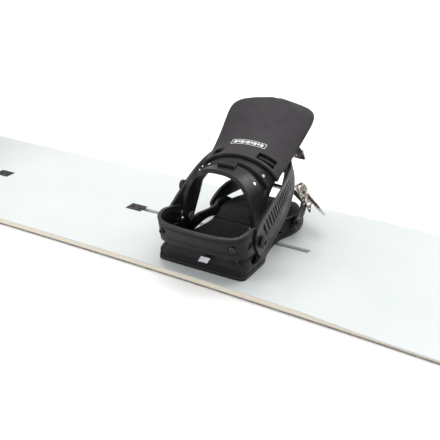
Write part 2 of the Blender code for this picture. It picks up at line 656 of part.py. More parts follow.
def toe_strap():
    cap_width = ((-1.12, 0.010), (-1.06, 0.017), (-0.8, 0.022), (-0.45, 0.038), (0.0, 0.042), (0.4, 0.034),
                 (0.5, 0.024))
    ladder_width = ((0.25, 0.016), (0.9, 0.017), (1.06, 0.016), (1.12, 0.010))
    over = ((0.60, TOE["lift"]), (0.86, 0.0))
    black = (0.035, 0.033, 0.034)
    cap = strap("front_toe_cap", TOE, -1.12, 0.50, cap_width, ((0, 0), (1, 0)), ARM_T, black, 0.6)
    mount_hole(cap, TOE, -1, 0.0030, "front_cap_hole")
    ladder = strap("front_toe_ladder", TOE, 0.25, 1.12, ladder_width, over, LADDER_T, black, 0.5)
    mount_hole(ladder, TOE, 1, 0.0030, "front_toe_ladder_hole")
    place = buckle_place(TOE, TOE_BUCKLE)
    buckle("front_toe", place, TOE_SIZE, SILVER, 1.0)
    lever("front_toe", place, TOE_SIZE, TOE_REACH, SILVER, 1.0)


# ---------------------------------------------------------------- assembly

MOVING = {                # which pieces turn about which axis; the rest belong to the binding
    "highback": ("highback_frame", "highback_panel", "lean_adjuster"),
    "ankle_strap": ("ankle_pad", "ankle_arm", "ankle_ladder", "ankle_buckle"),
    "ankle_lever": ("ankle_lever",),
    "toe_strap": ("toe_cap", "toe_ladder", "toe_buckle"),
    "toe_lever": ("toe_lever",),
}


def empty(name, place, parent=None):
    holder = bpy.data.objects.new(name, None)
    holder.empty_display_size = 0.02
    PARTS.objects.link(holder)
    holder.parent = parent
    holder.location = place
    return holder


def binding_empties(label, side):
    """The binding's own empty on the deck, and one empty on each joint's axis."""
    flip = Vector((side, 1, 1))
    home = empty(label + "_binding", (side * STANCE / 2, 0, THICK))
    axes = {"highback": HIGHBACK_AXIS, "ankle_strap": ANKLE_AXIS, "toe_strap": TOE_AXIS,
            "ankle_lever": lever_axis(ANKLE, ANKLE_BUCKLE, ANKLE_SIZE)[0],
            "toe_lever": lever_axis(TOE, TOE_BUCKLE, TOE_SIZE)[0]}
    return home, {key: empty("%s_%s_axis" % (label, key), place * flip, home) for key, place in axes.items()}


def holder_of(name, home, axes):
    piece = name.split("_", 1)[1]
    for key, pieces in MOVING.items():
        if piece in pieces:
            return axes[key]
    return home


def place_front(objects):
    home, axes = binding_empties("front", 1)
    for obj in objects:
        parent = holder_of(obj.name, home, axes)
        obj.parent = parent
        obj.location = obj.location - (parent.location if parent is not home else Vector())
    return home


def mirror_to_rear(objects, front_home):
    """Each rear piece is the front one's finished mesh, mirrored about the board's middle."""
    home, axes = binding_empties("rear", -1)
    bpy.context.view_layer.update()
    graph = bpy.context.evaluated_depsgraph_get()
    to_home = front_home.matrix_world.inverted()
    for obj in objects:
        mesh = bpy.data.meshes.new_from_object(obj.evaluated_get(graph))
        mesh.transform(Matrix.Diagonal((-1, 1, 1, 1)) @ to_home @ obj.matrix_world)
        mesh.flip_normals()
        name = obj.name.replace("front_", "rear_")
        mesh.name = name
        twin = bpy.data.objects.new(name, mesh)
        PARTS.objects.link(twin)
        mesh.materials.clear()
        mesh.materials.append(obj.data.materials[0].copy())
        parent = holder_of(name, home, axes)
        twin.parent = parent
        twin.location = -parent.location if parent is not home else Vector()


def build_bindings():
    board = set(PARTS.objects)
    base_plate()
    heel_hoop()
    footbeds()
    channel_hardware()
    side_bolts()
    highback_frame()
    highback_panel()
    lean_adjuster()
    ankle_strap()
    toe_strap()
    pieces = [obj for obj in PARTS.objects if obj not in board]
    tools = [obj for obj in CUTTERS.objects if obj.name.startswith("front_") and obj not in BOARD_CUTTERS]
    front_home = place_front(pieces)
    for tool in tools:
        tool.parent = front_home
    mirror_to_rear(pieces, front_home)


clear_scene()
PARTS = new_collection("snowboard_with_bindings")
CUTTERS = new_collection("cutters")
build_board()
BOARD_CUTTERS = set(CUTTERS.objects)
build_bindings()
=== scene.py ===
"""Looks for a snowboard with two strap bindings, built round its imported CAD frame.

Binding pieces are drawn once, in the front binding's own frame with its origin on the deck,
and each is placed twice: as drawn at the front, and mirrored in X at the rear.
"""

from math import cos, pi, radians, sin

import bmesh
import bpy
from mathutils import Matrix, Vector


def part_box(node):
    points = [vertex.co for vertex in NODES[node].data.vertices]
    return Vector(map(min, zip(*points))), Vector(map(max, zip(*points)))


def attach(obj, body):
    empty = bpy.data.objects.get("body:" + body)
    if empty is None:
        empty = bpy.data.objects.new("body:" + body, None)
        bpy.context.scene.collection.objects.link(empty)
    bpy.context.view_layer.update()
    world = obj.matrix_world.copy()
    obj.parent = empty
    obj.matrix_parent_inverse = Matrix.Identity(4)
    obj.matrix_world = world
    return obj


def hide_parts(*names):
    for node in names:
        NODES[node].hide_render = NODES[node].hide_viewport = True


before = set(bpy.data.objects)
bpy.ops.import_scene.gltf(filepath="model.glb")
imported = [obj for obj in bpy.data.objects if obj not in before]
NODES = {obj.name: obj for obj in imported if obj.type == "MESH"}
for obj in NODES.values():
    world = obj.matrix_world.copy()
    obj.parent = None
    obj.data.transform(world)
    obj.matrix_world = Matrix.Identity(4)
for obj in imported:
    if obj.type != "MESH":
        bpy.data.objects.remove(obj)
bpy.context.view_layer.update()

GAP = 0.0003
THICK = 0.0092            # top of the deck
STANCE = 0.610            # distance between the two bindings' middles

# Base plate and hoop of the CAD frame, in metres, in the binding's frame
HEEL_Y = -0.078           # where the straight walls end and the round heel begins
HEEL_DEPTH = 0.039
HEEL_SHAPE = 4.6          # squareness of the heel's outline
FOOT_SHAPE = 6.0          # added squareness at the deck
FOOT_IN = 0.0050          # how much shorter the heel is at the deck
TOE_Y = 0.104
WALL_END = 0.078          # front end of the side walls
FLOOR = 0.0053
WALL = 0.0040
HOOP = 0.0050
SEAT = HOOP + GAP         # recess of the wall under the hoop
HOOP_LEAN = 0.0100        # how far the hoop's top leans back at its middle
HOOP_ROUND = 0.0680
HOOP_FROM = 0.300         # the hoop's stretch of the base plate's outline
HOOP_SPAN = 0.400
BASE_HALF = ((-0.078, 0.0625), (-0.056, 0.0620), (-0.040, 0.0560), (-0.018, 0.0520), (0.008, 0.0515),
             (0.034, 0.0595), (0.056, 0.0605), (0.078, 0.0545), (0.094, 0.0450), (0.104, 0.0300))
WALL_TOP = ((-0.116, 0.040), (-0.062, 0.036), (-0.024, 0.032), (0.006, 0.029), (0.040, 0.026),
            (0.058, 0.022), (0.078, 0.009))
HOOP_TOP = ((-0.117, 0.0575), (-0.100, 0.0625), (-0.084, 0.0610), (-0.060, 0.0540), (-0.048, 0.0490),
            (-0.038, 0.0400))
HOOP_LOW = ((-0.117, 0.0290), (-0.090, 0.0285), (-0.060, 0.0275), (-0.038, 0.0310))

# Highback: y, height of the middle, half width, drop of the edges, angle of the arc
HIGHBACK = ((-0.066, 0.1150, 0.0500, 0.0775, 90), (-0.050, 0.1140, 0.0500, 0.0765, 90),
            (-0.038, 0.1135, 0.0505, 0.0600, 88), (-0.022, 0.1135, 0.0510, 0.0330, 80),
            (-0.004, 0.1150, 0.0520, 0.0200, 70), (0.020, 0.1200, 0.0540, 0.0155, 60),
            (0.050, 0.1315, 0.0575, 0.0120, 52), (0.078, 0.1455, 0.0610, 0.0090, 48),
            (0.094, 0.1540, 0.0615, 0.0075, 45), (0.112, 0.1630, 0.0605, 0.0060, 45))
PANEL_START = -0.010
PANEL_END = 0.105
PANEL_T = 0.0030
PANEL_LIFT = 0.0008       # the panel's underside over the frame's surface
SKEW = 0.0050
CORNERS = 0.028           # size of the panel's round corners
FRAME_START = -0.066
FRAME_END = 0.012
FRAME_T = 0.0040
HIGHBACK_AXIS = Vector((0.0, -0.058, 0.042))

# Strap loops: half width, mount (y, z), top (y, z), roundness, tilt of their width, added tilt at the crown
ARM_T = 0.0034
LADDER_T = 0.0024
PAD_T = 0.0070
ANKLE = {"half": 0.0636, "mount": (-0.072, 0.038), "top": (0.055, 0.1080), "shape": 2.8, "tilt": 31,
         "crown": 0, "bulge": 0.006, "lift": 0.0}
PAD = dict(ANKLE, mount=(-0.0668, 0.0294), top=(0.0602, 0.0994))
TOE = {"half": 0.0625, "mount": (0.034, 0.0185), "top": (0.082, 0.0410), "shape": 2.6, "tilt": 26,
       "crown": 34, "bulge": 0.0, "lift": ARM_T + GAP}
PAD_SPAN = (-0.52, 0.80)
ANKLE_ARM_SPAN = (-1.09, -0.36)
ANKLE_LADDER_SPAN = (0.02, 1.09)
TOE_CAP_SPAN = (-1.12, 0.50)
TOE_LADDER_SPAN = (0.25, 1.12)
FLAT = ((0, 0), (1, 0))
ARM_HOLE = 0.0038         # radius of the ankle strap's mounting holes
TOE_HOLE = 0.0030

# Buckles: place on the loop; lever length; length, inner width and height
ANKLE_BUCKLE = 0.17
TOE_BUCKLE = 0.56
ANKLE_REACH = 0.036
TOE_REACH = 0.044
ANKLE_SIZE = (0.034, 0.0205, 0.0125)
TOE_SIZE = (0.038, 0.0190, 0.0150)
CHEEK = 0.0018
LEVER_AT = -0.007         # the lever's pin along the buckle
BARREL = 0.0033
BOLT_OUT = 0.0005         # play between a strap and its bolt's head


# ------------------------ camera, light and floor

def linked(name, data):
    obj = bpy.data.objects.new(name, data)
    bpy.context.scene.collection.objects.link(obj)
    return obj


def camera():
    """A long lens behind the heel side of the front binding, a little to its outer side."""
    turn, dip, distance = radians(30.01), radians(25.86), 1.0464
    target = Vector((0.2565, 0.0237, THICK))
    ahead = Vector((-sin(turn), cos(turn), 0))
    right = Vector((cos(turn), sin(turn), 0))
    forward = ahead * cos(dip) - Vector((0, 0, sin(dip)))
    up = ahead * sin(dip) + Vector((0, 0, cos(dip)))
    lens = bpy.data.cameras.new("camera")
    lens.sensor_width = 36
    lens.lens = 61.03
    lens.clip_start = 0.01
    obj = linked("camera", lens)
    place = Matrix((right, up, -forward)).transposed().to_4x4()
    place.translation = target - forward * distance
    obj.matrix_world = place
    bpy.context.scene.camera = obj


def area_light(name, place, towards, size, watts):
    lamp = bpy.data.lights.new(name, 'AREA')
    lamp.shape = 'RECTANGLE'
    lamp.size, lamp.size_y = size
    lamp.energy = watts
    obj = linked(name, lamp)
    obj.location = place
    obj.rotation_mode = 'QUATERNION'
    obj.rotation_quaternion = (Vector(towards) - Vector(place)).to_track_quat('-Z', 'Y')


def studio():
    scene = bpy.context.scene
    scene.view_settings.view_transform = 'Standard'
    world = bpy.data.worlds.new("studio")
    world.use_nodes = True
    sky = world.node_tree.nodes["Background"].inputs
    sky["Color"].default_value = (1.0, 1.0, 1.0, 1.0)
    sky["Strength"].default_value = 0.80
    scene.world = world
    area_light("overhead", (0.1, 0.6, 1.7), (0.25, 0.1, 0.05), (1.8, 1.4), 20)
    area_light("left", (-1.2, -0.9, 0.9), (0.25, 0.0, 0.08), (1.0, 0.8), 8)
    area_light("back_rim", (1.0, 1.4, 0.9), (0.25, 0.0, 0.08), (1.0, 0.6), 10)
    floor = bpy.data.meshes.new("floor")
    bm = bmesh.new()
    bmesh.ops.create_grid(bm, x_segments=2, y_segments=2, size=6.0)
    bm.to_mesh(floor)
    bm.free()
    obj = linked("floor", floor)
    obj.location.z = -0.0004
    mat = bpy.data.materials.new("floor")
    mat.use_nodes = True
    shader = mat.node_tree.nodes["Principled BSDF"]
    shader.inputs["Base Color"].default_value = (0.97, 0.97, 0.97, 1)
    shader.inputs["Roughness"].default_value = 0.9
    floor.materials.append(mat)


# ------------------------ materials

class Look:
    """A Principled material with helpers that add texture nodes in object coordinates."""

    def __init__(self, name, roughness=0.5, metallic=0.0, **sockets):
        self.mat = bpy.data.materials.new(name)
        self.mat.use_nodes = True
        self.tree = self.mat.node_tree
        self.shader = self.tree.nodes["Principled BSDF"]
        self.shader.inputs["Roughness"].default_value = roughness
        self.shader.inputs["Metallic"].default_value = metallic
        for key, value in sockets.items():
            self.shader.inputs[key.replace("_", " ")].default_value = value
        self.place = self.tree.nodes.new('ShaderNodeTexCoord').outputs["Object"]
        self.bumped = None

    def link(self, start, end):
        self.tree.links.new(start, end)

    def stretched(self, scale):
        node = self.tree.nodes.new('ShaderNodeMapping')
        node.inputs["Scale"].default_value = scale
        self.link(self.place, node.inputs["Vector"])
        return node.outputs["Vector"]

    def noise(self, scale, detail=4.0, stretch=None):
        node = self.tree.nodes.new('ShaderNodeTexNoise')
        node.inputs["Scale"].default_value = scale
        node.inputs["Detail"].default_value = detail
        node.inputs["Roughness"].default_value = 0.55
        self.link(self.stretched(stretch) if stretch else self.place, node.inputs["Vector"])
        return node.outputs["Fac"]

    def cells(self, scale):
        node = self.tree.nodes.new('ShaderNodeTexVoronoi')
        node.inputs["Scale"].default_value = scale
        self.link(self.place, node.inputs["Vector"])
        return node.outputs["Distance"]

    def waves(self, scale, direction, distortion=0.0):
        node = self.tree.nodes.new('ShaderNodeTexWave')
        node.bands_direction = direction
        node.inputs["Scale"].default_value = scale
        node.inputs["Distortion"].default_value = distortion
        self.link(self.place, node.inputs["Vector"])
        return node.outputs["Fac"]

    def edges(self):
        return self.tree.nodes.new('ShaderNodeNewGeometry').outputs["Pointiness"]

    def ramp(self, source, *stops):
        """Colours at places along a 0 to 1 value."""
        node = self.tree.nodes.new('ShaderNodeValToRGB')
        while len(node.color_ramp.elements) < len(stops):
            node.color_ramp.elements.new(0.5)
        for element, (place, color) in zip(node.color_ramp.elements, stops):
            element.position = place
            element.color = (*color, 1)
        self.link(source, node.inputs["Fac"])
        return node.outputs["Color"]

    def mix(self, factor, first, second, mode='MIX'):
        node = self.tree.nodes.new('ShaderNodeMix')
        node.data_type = 'RGBA'
        node.blend_type = mode
        for socket, value in ((node.inputs[0], factor), (node.inputs[6], first), (node.inputs[7], second)):
            if hasattr(value, "links"):
                self.link(value, socket)
            else:
                socket.default_value = (*value, 1) if isinstance(value, tuple) else value
        return node.outputs[2]

    def span(self, source, low, high, start=0.0, end=1.0):
        node = self.tree.nodes.new('ShaderNodeMapRange')
        for key, value in (("From Min", start), ("From Max", end), ("To Min", low), ("To Max", high)):
            node.inputs[key].default_value = value
        self.link(source, node.inputs["Value"])
        return node.outputs["Result"]

    def color(self, source):
        self.link(source, self.shader.inputs["Base Color"])
        return self

    def rough(self, source, low, high):
        self.link(self.span(source, low, high, 0.3, 0.7), self.shader.inputs["Roughness"])
        return self

    def bump(self, source, depth, strength=1.0):
        """Relief of a given depth in metres, added over any earlier relief."""
        node = self.tree.nodes.new('ShaderNodeBump')
        node.inputs["Strength"].default_value = strength
        node.inputs["Distance"].default_value = depth
        self.link(source, node.inputs["Height"])
        if self.bumped:
            self.link(self.bumped, node.inputs["Normal"])
        self.bumped = node.outputs["Normal"]
        self.link(self.bumped, self.shader.inputs["Normal"])
        return self


def moulded(name, dark, light, roughness, grain=1500, depth=0.00005, edge_wear_and_highlight_color=(0.055, 0.052, 0.056)):
    """Injection-moulded nylon: fine spark-eroded grain, cloudy gloss, and convex edges lightened partly as
    rubbed wear and partly as a painted highlight.
    """
    look = Look(name, roughness, Specular_IOR_Level=0.26)
    base = look.ramp(look.noise(45, 5), (0.35, dark), (0.65, light))
    # Convex edges found by pointiness and broken up by noise get a lighter colour: part rubbed wear, part
    # painted highlight along the rims.
    edge_wear_and_highlight = look.ramp(look.edges(), (0.51, (0, 0, 0)), (0.62, (1, 1, 1)))
    edge_wear_and_highlight_mask = look.mix(look.span(look.noise(160, 3), 0.35, 0.9), (0, 0, 0), edge_wear_and_highlight)
    look.color(look.mix(edge_wear_and_highlight_mask, base, edge_wear_and_highlight_color))
    look.rough(look.noise(90, 4), roughness - 0.07, roughness + 0.08)
    look.bump(look.cells(grain), depth, 0.5)
    return look.bump(look.noise(grain * 0.4, 3), depth, 0.35).mat


def cast_metal(name, dark, light, roughness, stretch=(1, 1, 1)):
    look = Look(name, roughness, 1.0)
    look.color(look.ramp(look.noise(120, 5), (0.3, dark), (0.7, light)))
    look.rough(look.noise(400, 4, stretch=stretch), roughness - 0.06, roughness + 0.10)
    return look.bump(look.noise(1800, 2, stretch=stretch), 0.00003, 0.35).mat


def make_materials():
    looks = {}
    deck = Look("deck", 0.34, Coat_Weight=0.55, Coat_Roughness=0.12)
    deck.color(deck.ramp(deck.noise(9, 5), (0.3, (0.615, 0.655, 0.650)), (0.7, (0.655, 0.690, 0.682))))
    deck.rough(deck.noise(160, 4), 0.28, 0.42)
    looks["deck"] = deck.bump(deck.noise(700, 3), 0.00003, 0.25).mat

    side = Look("sidewall", 0.45)
    layers = side.ramp(side.waves(430, 'Z', 0.4), (0.0, (0.42, 0.36, 0.28)), (0.22, (0.74, 0.67, 0.55)),
                       (0.6, (0.83, 0.77, 0.66)), (1.0, (0.86, 0.81, 0.72)))
    grime = side.span(side.noise(300, 4, stretch=(0.06, 1, 1)), 0.0, 0.35)
    side.color(side.mix(grime, layers, (0.62, 0.54, 0.42)))
    side.rough(side.noise(200), 0.38, 0.52)
    looks["sidewall"] = side.bump(side.noise(900, 3, stretch=(0.05, 1, 1)), 0.00005, 0.5).mat

    base = Look("base", 0.30)
    base.color(base.ramp(base.noise(500, 6), (0.35, (0.030, 0.031, 0.034)), (0.7, (0.075, 0.077, 0.082))))
    base.rough(base.noise(60, 4, stretch=(0.1, 1, 1)), 0.22, 0.38)
    looks["base"] = base.bump(base.waves(420, 'Y', 1.5), 0.00004, 0.4).mat

    looks["steel_edge"] = cast_metal("steel_edge", (0.20, 0.185, 0.17), (0.42, 0.40, 0.37), 0.38,
                                     (0.08, 1, 1))
    along_rail = (0.05, 1, 1)
    rail = Look("rail", 0.42, 0.25)
    rail.color(rail.ramp(rail.noise(120, 5), (0.3, (0.62, 0.64, 0.64)), (0.7, (0.76, 0.78, 0.78))))
    rail.rough(rail.noise(400, 4, stretch=along_rail), 0.34, 0.52)
    looks["rail"] = rail.bump(rail.noise(1800, 2, stretch=along_rail), 0.00003, 0.35).mat
    looks["moulded_black"] = moulded("moulded_black", (0.0040, 0.0034, 0.0040), (0.0070, 0.0060, 0.0070),
                                     0.50)
    looks["hoop"] = moulded("hoop_black", (0.0060, 0.0050, 0.0062), (0.0100, 0.0086, 0.0104), 0.40, 1300)
    # The last colour is the lighter edge colour: part wear, part painted highlight.
    looks["highback_panel"] = moulded("highback_panel", (0.0200, 0.0160, 0.0200), (0.0265, 0.0215, 0.0265),
                                      0.54, 2100, 0.00004, (0.060, 0.055, 0.060))
    foam = Look("footbed_foam", 0.78)
    specks = foam.ramp(foam.cells(900), (0.10, (0.034, 0.031, 0.029)), (0.22, (0.013, 0.0115, 0.0105)))
    foam.color(foam.mix(foam.span(foam.noise(60, 5), 0.2, 0.8), specks, (0.0105, 0.0095, 0.0090)))
    foam.rough(foam.noise(300), 0.70, 0.88)
    looks["footbed_foam"] = foam.bump(foam.cells(1500), 0.00012, 0.5).mat

    pad = Look("strap_pad", 0.70, Sheen_Weight=0.25, Sheen_Roughness=0.5)
    over = pad.waves(520, 'X')
    under = pad.waves(520, 'Z')
    weave = pad.mix(0.5, over, under, 'MULTIPLY')
    pad.color(pad.ramp(weave, (0.15, (0.006, 0.006, 0.0065)), (0.75, (0.020, 0.0195, 0.021))))
    pad.rough(pad.noise(200), 0.62, 0.80)
    pad.bump(weave, 0.00018, 0.6)
    looks["strap_pad"] = pad.bump(pad.noise(900), 0.0001, 0.4).mat

    looks["strap_plastic"] = moulded("strap_plastic", (0.0065, 0.0060, 0.0068), (0.0115, 0.0105, 0.0118),
                                     0.36, 1900, 0.00003)
    metal = Look("buckle_metal", 0.24, 1.0)
    metal.color(metal.ramp(metal.noise(90, 5), (0.3, (0.66, 0.62, 0.57)), (0.7, (0.80, 0.77, 0.72))))
    metal.rough(metal.noise(300, 4), 0.18, 0.34)
    looks["buckle_metal"] = metal.bump(metal.noise(1400, 3), 0.00004, 0.4).mat
    looks["bolt_steel"] = cast_metal("bolt_steel", (0.42, 0.42, 0.43), (0.62, 0.62, 0.62), 0.30)
    looks["dark_bolt"] = cast_metal("dark_bolt", (0.030, 0.030, 0.032), (0.070, 0.068, 0.070), 0.42)
    # The last colour is the lighter edge colour: part wear, part painted highlight.
    looks["print"] = moulded("pale_print", (0.60, 0.58, 0.60), (0.72, 0.70, 0.72), 0.45, 2400, 0.00002,
                             (0.75, 0.74, 0.75))
    looks["plate"] = cast_metal("badge_plate", (0.46, 0.45, 0.49), (0.58, 0.57, 0.61), 0.36, (0.2, 1, 1))
    looks["white_screw"] = cast_metal("white_screw", (0.75, 0.74, 0.73), (0.88, 0.87, 0.86), 0.28)
    return looks


# ------------------------ shapes shared with the CAD frame

def along(table, x, column=1):
    """Smooth value at x through the rows of a table whose first column is x."""
    if x <= table[0][0]:
        return table[0][column]
    if x >= table[-1][0]:
        return table[-1][column]
    k = max(i for i in range(len(table) - 1) if table[i][0] <= x)
    x0, x1 = table[k][0], table[k + 1][0]
    y0, y1 = table[k][column], table[k + 1][column]

    def slope(i):
        a, b = max(i - 1, 0), min(i + 1, len(table) - 1)
        return (table[b][column] - table[a][column]) / (table[b][0] - table[a][0])

    t, span = (x - x0) / (x1 - x0), x1 - x0
    return (y0 * (1 + 2 * t) * (1 - t) ** 2 + y1 * t * t * (3 - 2 * t)
            + slope(k) * span * t * (1 - t) ** 2 - slope(k + 1) * span * t * t * (1 - t))


def ease(x, low, high):
    t = min(max((x - low) / (high - low), 0.0), 1.0)
    return t * t * (3 - 2 * t)


def band(x, low, high, soft):
    """1 between low and high, easing to 0 over a soft margin outside them."""
    return ease(x, low - soft, low) * (1 - ease(x, high, high + soft))


def power(value, shape):
    return (1 if value >= 0 else -1) * abs(value) ** (2 / shape)


def base_plan(u, inset=0.0, foot=0.0):
    """Place round the base plate's outline, drawn in by an inset; foot is 1 for its shape at the deck."""
    turn = 0.34
    if u < turn or u > 1 - turn:
        side = 1 if u < turn else -1
        t = u / turn if u < turn else (1 - u) / turn
        y = WALL_END + (HEEL_Y - WALL_END) * t
        return side * (along(BASE_HALF, y) - inset), y
    angle = pi * (u - turn) / (1 - 2 * turn)
    half = along(BASE_HALF, HEEL_Y) - inset
    shape = HEEL_SHAPE + FOOT_SHAPE * foot
    deep = HEEL_DEPTH - FOOT_IN * foot - inset
    return half * power(cos(angle), shape), HEEL_Y - deep * power(sin(angle), shape)


def base_wall(u, v):
    """Outer face of the wall, u along the outline and v up it."""
    x, y = base_plan(u)
    z = 0.003 + (along(WALL_TOP, y) - 0.003) * v
    inset = 0.0008 + SEAT * ease(z, 0.012, 0.0255) * (1 - ease(y, -0.046, -0.026))
    x, y = base_plan(u, inset, 1 - ease(z, 0.009, 0.0255))
    return Vector((x, y, z))


def hoop_face(u, v):
    """Inner face of the hoop, which sits in the wall's recess."""
    place = HOOP_FROM + HOOP_SPAN * u
    x, y = base_plan(place)
    low, high = along(HOOP_LOW, y), along(HOOP_TOP, y)
    lean = HOOP_LEAN * v * ease(-y, 0.094, 0.113) * (1 - (x / HOOP_ROUND) ** 2)
    x, y = base_plan(place, -GAP - lean)
    return Vector((x, y, low + (high - low) * v))


def highback_point(y, s, out=0.0):
    """Place on the highback at a distance y along it, with s from -1 to 1 across it."""
    middle, half, drop, angle = (along(HIGHBACK, y, c) for c in (1, 2, 3, 4))
    shape = 2 + 0.6 * ease(-y, 0.022, 0.050)
    a = radians(angle)
    b = a * s
    corner = max(y - PANEL_END + CORNERS, 0.0) / CORNERS
    half *= max(1 - corner ** 4, 0.0) ** 0.25
    x = half * power(sin(b), shape) / power(sin(a), shape) - SKEW * ease(y, 0.0, PANEL_END)
    z = middle - drop * (1 - power(cos(b), shape)) / (1 - power(cos(a), shape))
    return Vector((x, y, z)) + Vector((sin(b), 0, cos(b))) * out


def strap_line(loop, s):
    """Place on a strap's loop: s is -1 and 1 at its mounts and 0 at its top."""
    y0, z0 = loop["mount"]
    y1, z1 = loop["top"]
    a = pi / 2 * min(max(s, -1.0), 1.0)
    x = loop["half"] * power(sin(a), loop["shape"]) + loop["bulge"] * sin(2 * a)
    h = power(cos(a), loop["shape"]) if abs(s) < 1 else 1 - abs(s)
    return Vector((x, y0 + (y1 - y0) * h, z0 + (z1 - z0) * h))


def strap_frame(loop, s):
    """Point, direction along the loop, direction across its width, and outward normal."""
    step = 0.01
    run = (strap_line(loop, s + step) - strap_line(loop, s - step)).normalized()
    tilt = radians(loop["tilt"] + loop["crown"] * max(1 - s * s, 0.0))
    across = Vector((0, -sin(tilt), cos(tilt)))
    across = (across - run * across.dot(run) * 0.6).normalized()
    return strap_line(loop, s), run, across, across.cross(run).normalized()


def buckle_place(loop, s):
    """Frame of a buckle that sits square on its loop."""
    point, run, across, normal = strap_frame(loop, s)
    across = normal.cross(run).normalized()
    place = Matrix((run, across, normal)).transposed().to_4x4()
    place.translation = point + normal * (loop["lift"] + GAP)
    return place


# ------------------------ mesh building

def shell(outer, inner, across, down, hole=None):
    """A closed wall between two surfaces of (u, v), with the cells that hole(u, v) names left open."""
    bm = bmesh.new()
    spots = [[(i / across, j / down) for j in range(down + 1)] for i in range(across + 1)]
    near = [[bm.verts.new(outer(u, v)) for u, v in row] for row in spots]
    far = [[bm.verts.new(inner(u, v)) for u, v in row] for row in spots]
    rim = set()
    for i in range(across):
        for j in range(down):
            if hole and hole((i + 0.5) / across, (j + 0.5) / down):
                continue
            loop = ((i, j), (i + 1, j), (i + 1, j + 1), (i, j + 1))
            bm.faces.new([near[a][b] for a, b in loop])
            bm.faces.new([far[a][b] for a, b in reversed(loop)])
            for k in range(4):
                start, end = loop[k], loop[(k + 1) % 4]
                if (end, start) in rim:
                    rim.remove((end, start))
                else:
                    rim.add((start, end))
    for (a, b), (c, d) in sorted(rim):
        bm.faces.new((near[c][d], near[a][b], far[a][b], far[c][d]))
    loose = [vert for vert in bm.verts if not vert.link_faces]
    bmesh.ops.delete(bm, geom=loose, context='VERTS')
    return bm


def lifted(surface, amount):
    """The surface moved along its own normal by amount(u, v)."""
    step = 0.002

    def point(u, v):
        du = surface(min(u + step, 1), v) - surface(max(u - step, 0), v)
        dv = surface(u, min(v + step, 1)) - surface(u, max(v - step, 0))
        return surface(u, v) + du.cross(dv).normalized() * amount(u, v)
    return point


def prism(outline, low, high, place=None):
    """A flat outline of (a, b) between two levels, in a placed frame."""
    bm = bmesh.new()
    place = place or Matrix()
    rings = [[bm.verts.new(place @ Vector((a, b, c))) for a, b in outline] for c in (low, high)]
    count = len(outline)
    for k in range(count):
        bm.faces.new((rings[0][k], rings[0][(k + 1) % count], rings[1][(k + 1) % count], rings[1][k]))
    bm.faces.new(rings[0])
    bm.faces.new(rings[1])
    return bm


def circle(radius, steps=24, a=0.0, b=0.0, stretch=1.0):
    return [(a + radius * stretch * cos(t), b + radius * sin(t)) for t in
            (2 * pi * k / steps for k in range(steps))]


def rounded(half_a, half_b, radius, a=0.0, b=0.0):
    """Outline of a rectangle with round corners."""
    points = []
    steps = 5
    for k, (sa, sb) in enumerate(((1, 1), (-1, 1), (-1, -1), (1, -1))):
        for n in range(steps + 1):
            t = pi / 2 * (k + n / steps)
            points.append((a + sa * (half_a - radius) + radius * cos(t),
                           b + sb * (half_b - radius) + radius * sin(t)))
    return points


def facing(point, normal, up=(0, 0, 1)):
    """A frame at a point with its third axis along the normal."""
    third = Vector(normal).normalized()
    first = Vector(up).cross(third).normalized()
    place = Matrix((first, third.cross(first), third)).transposed().to_4x4()
    place.translation = point
    return place


def lathe(profile, place, steps=28):
    """A profile of (radius, height) rows turned about the third axis of a placed frame."""
    bm = bmesh.new()
    rings = []
    for r, h in profile:
        if r < 1e-6:
            rings.append([bm.verts.new(place @ Vector((0, 0, h)))] * steps)
        else:
            rings.append([bm.verts.new(place @ Vector((r * cos(t), r * sin(t), h))) for t in
                          (2 * pi * k / steps for k in range(steps))])
    for one, two in zip(rings, rings[1:]):
        for k in range(steps):
            corners = [one[k], one[(k + 1) % steps], two[(k + 1) % steps], two[k]]
            unique = [vert for i, vert in enumerate(corners) if vert not in corners[:i]]
            if len(unique) > 2:
                bm.faces.new(unique)
    return bm


def tube(points, radius, sides):
    """A round bar along a line of points, closed at both ends."""
    bm = bmesh.new()
    rings = []
    for k, point in enumerate(points):
        run = (points[min(k + 1, len(points) - 1)] - points[max(k - 1, 0)]).normalized()
        place = facing(point, run, (0, 0, 1) if abs(run.z) < 0.9 else (1, 0, 0))
        rings.append([bm.verts.new(place @ Vector((radius * cos(t), radius * sin(t), 0))) for t in
                      (2 * pi * n / sides for n in range(sides))])
    for one, two in zip(rings, rings[1:]):
        for k in range(sides):
            bm.faces.new((one[k], one[(k + 1) % sides], two[(k + 1) % sides], two[k]))
    bm.faces.new(rings[0])
    bm.faces.new(rings[-1])
    return bm


def temporary(bm):
    """An object of a shape, for the time of its booleans."""
    bmesh.ops.recalc_face_normals(bm, faces=bm.faces)
    mesh = bpy.data.meshes.new("temporary")
    bm.to_mesh(mesh)
    bm.free()
    return linked("temporary", mesh)


def bake(bm, bevel=0.0, segments=2, cuts=()):
    """The finished mesh of a shape after its cuts, with its edges rounded."""
    obj = temporary(bm)
    tools = []
    for other in cuts:
        tool = temporary(other)
        tools.append(tool)
        mod = obj.modifiers.new("tool", 'BOOLEAN')
        mod.operation = 'DIFFERENCE'
        mod.solver = 'EXACT'
        mod.object = tool
    if bevel:
        mod = obj.modifiers.new("edges", 'BEVEL')
        mod.width = bevel
        mod.segments = segments
        mod.limit_method = 'ANGLE'
        mod.angle_limit = radians(40)
    bpy.context.view_layer.update()
    graph = bpy.context.evaluated_depsgraph_get()
    mesh = bpy.data.meshes.new_from_object(obj.evaluated_get(graph))
    for used in [obj] + tools:
        data = used.data
        bpy.data.objects.remove(used, do_unlink=True)
        bpy.data.meshes.remove(data)
    mesh.shade_smooth()
    mesh.set_sharp_from_angle(angle=radians(42))
    return mesh


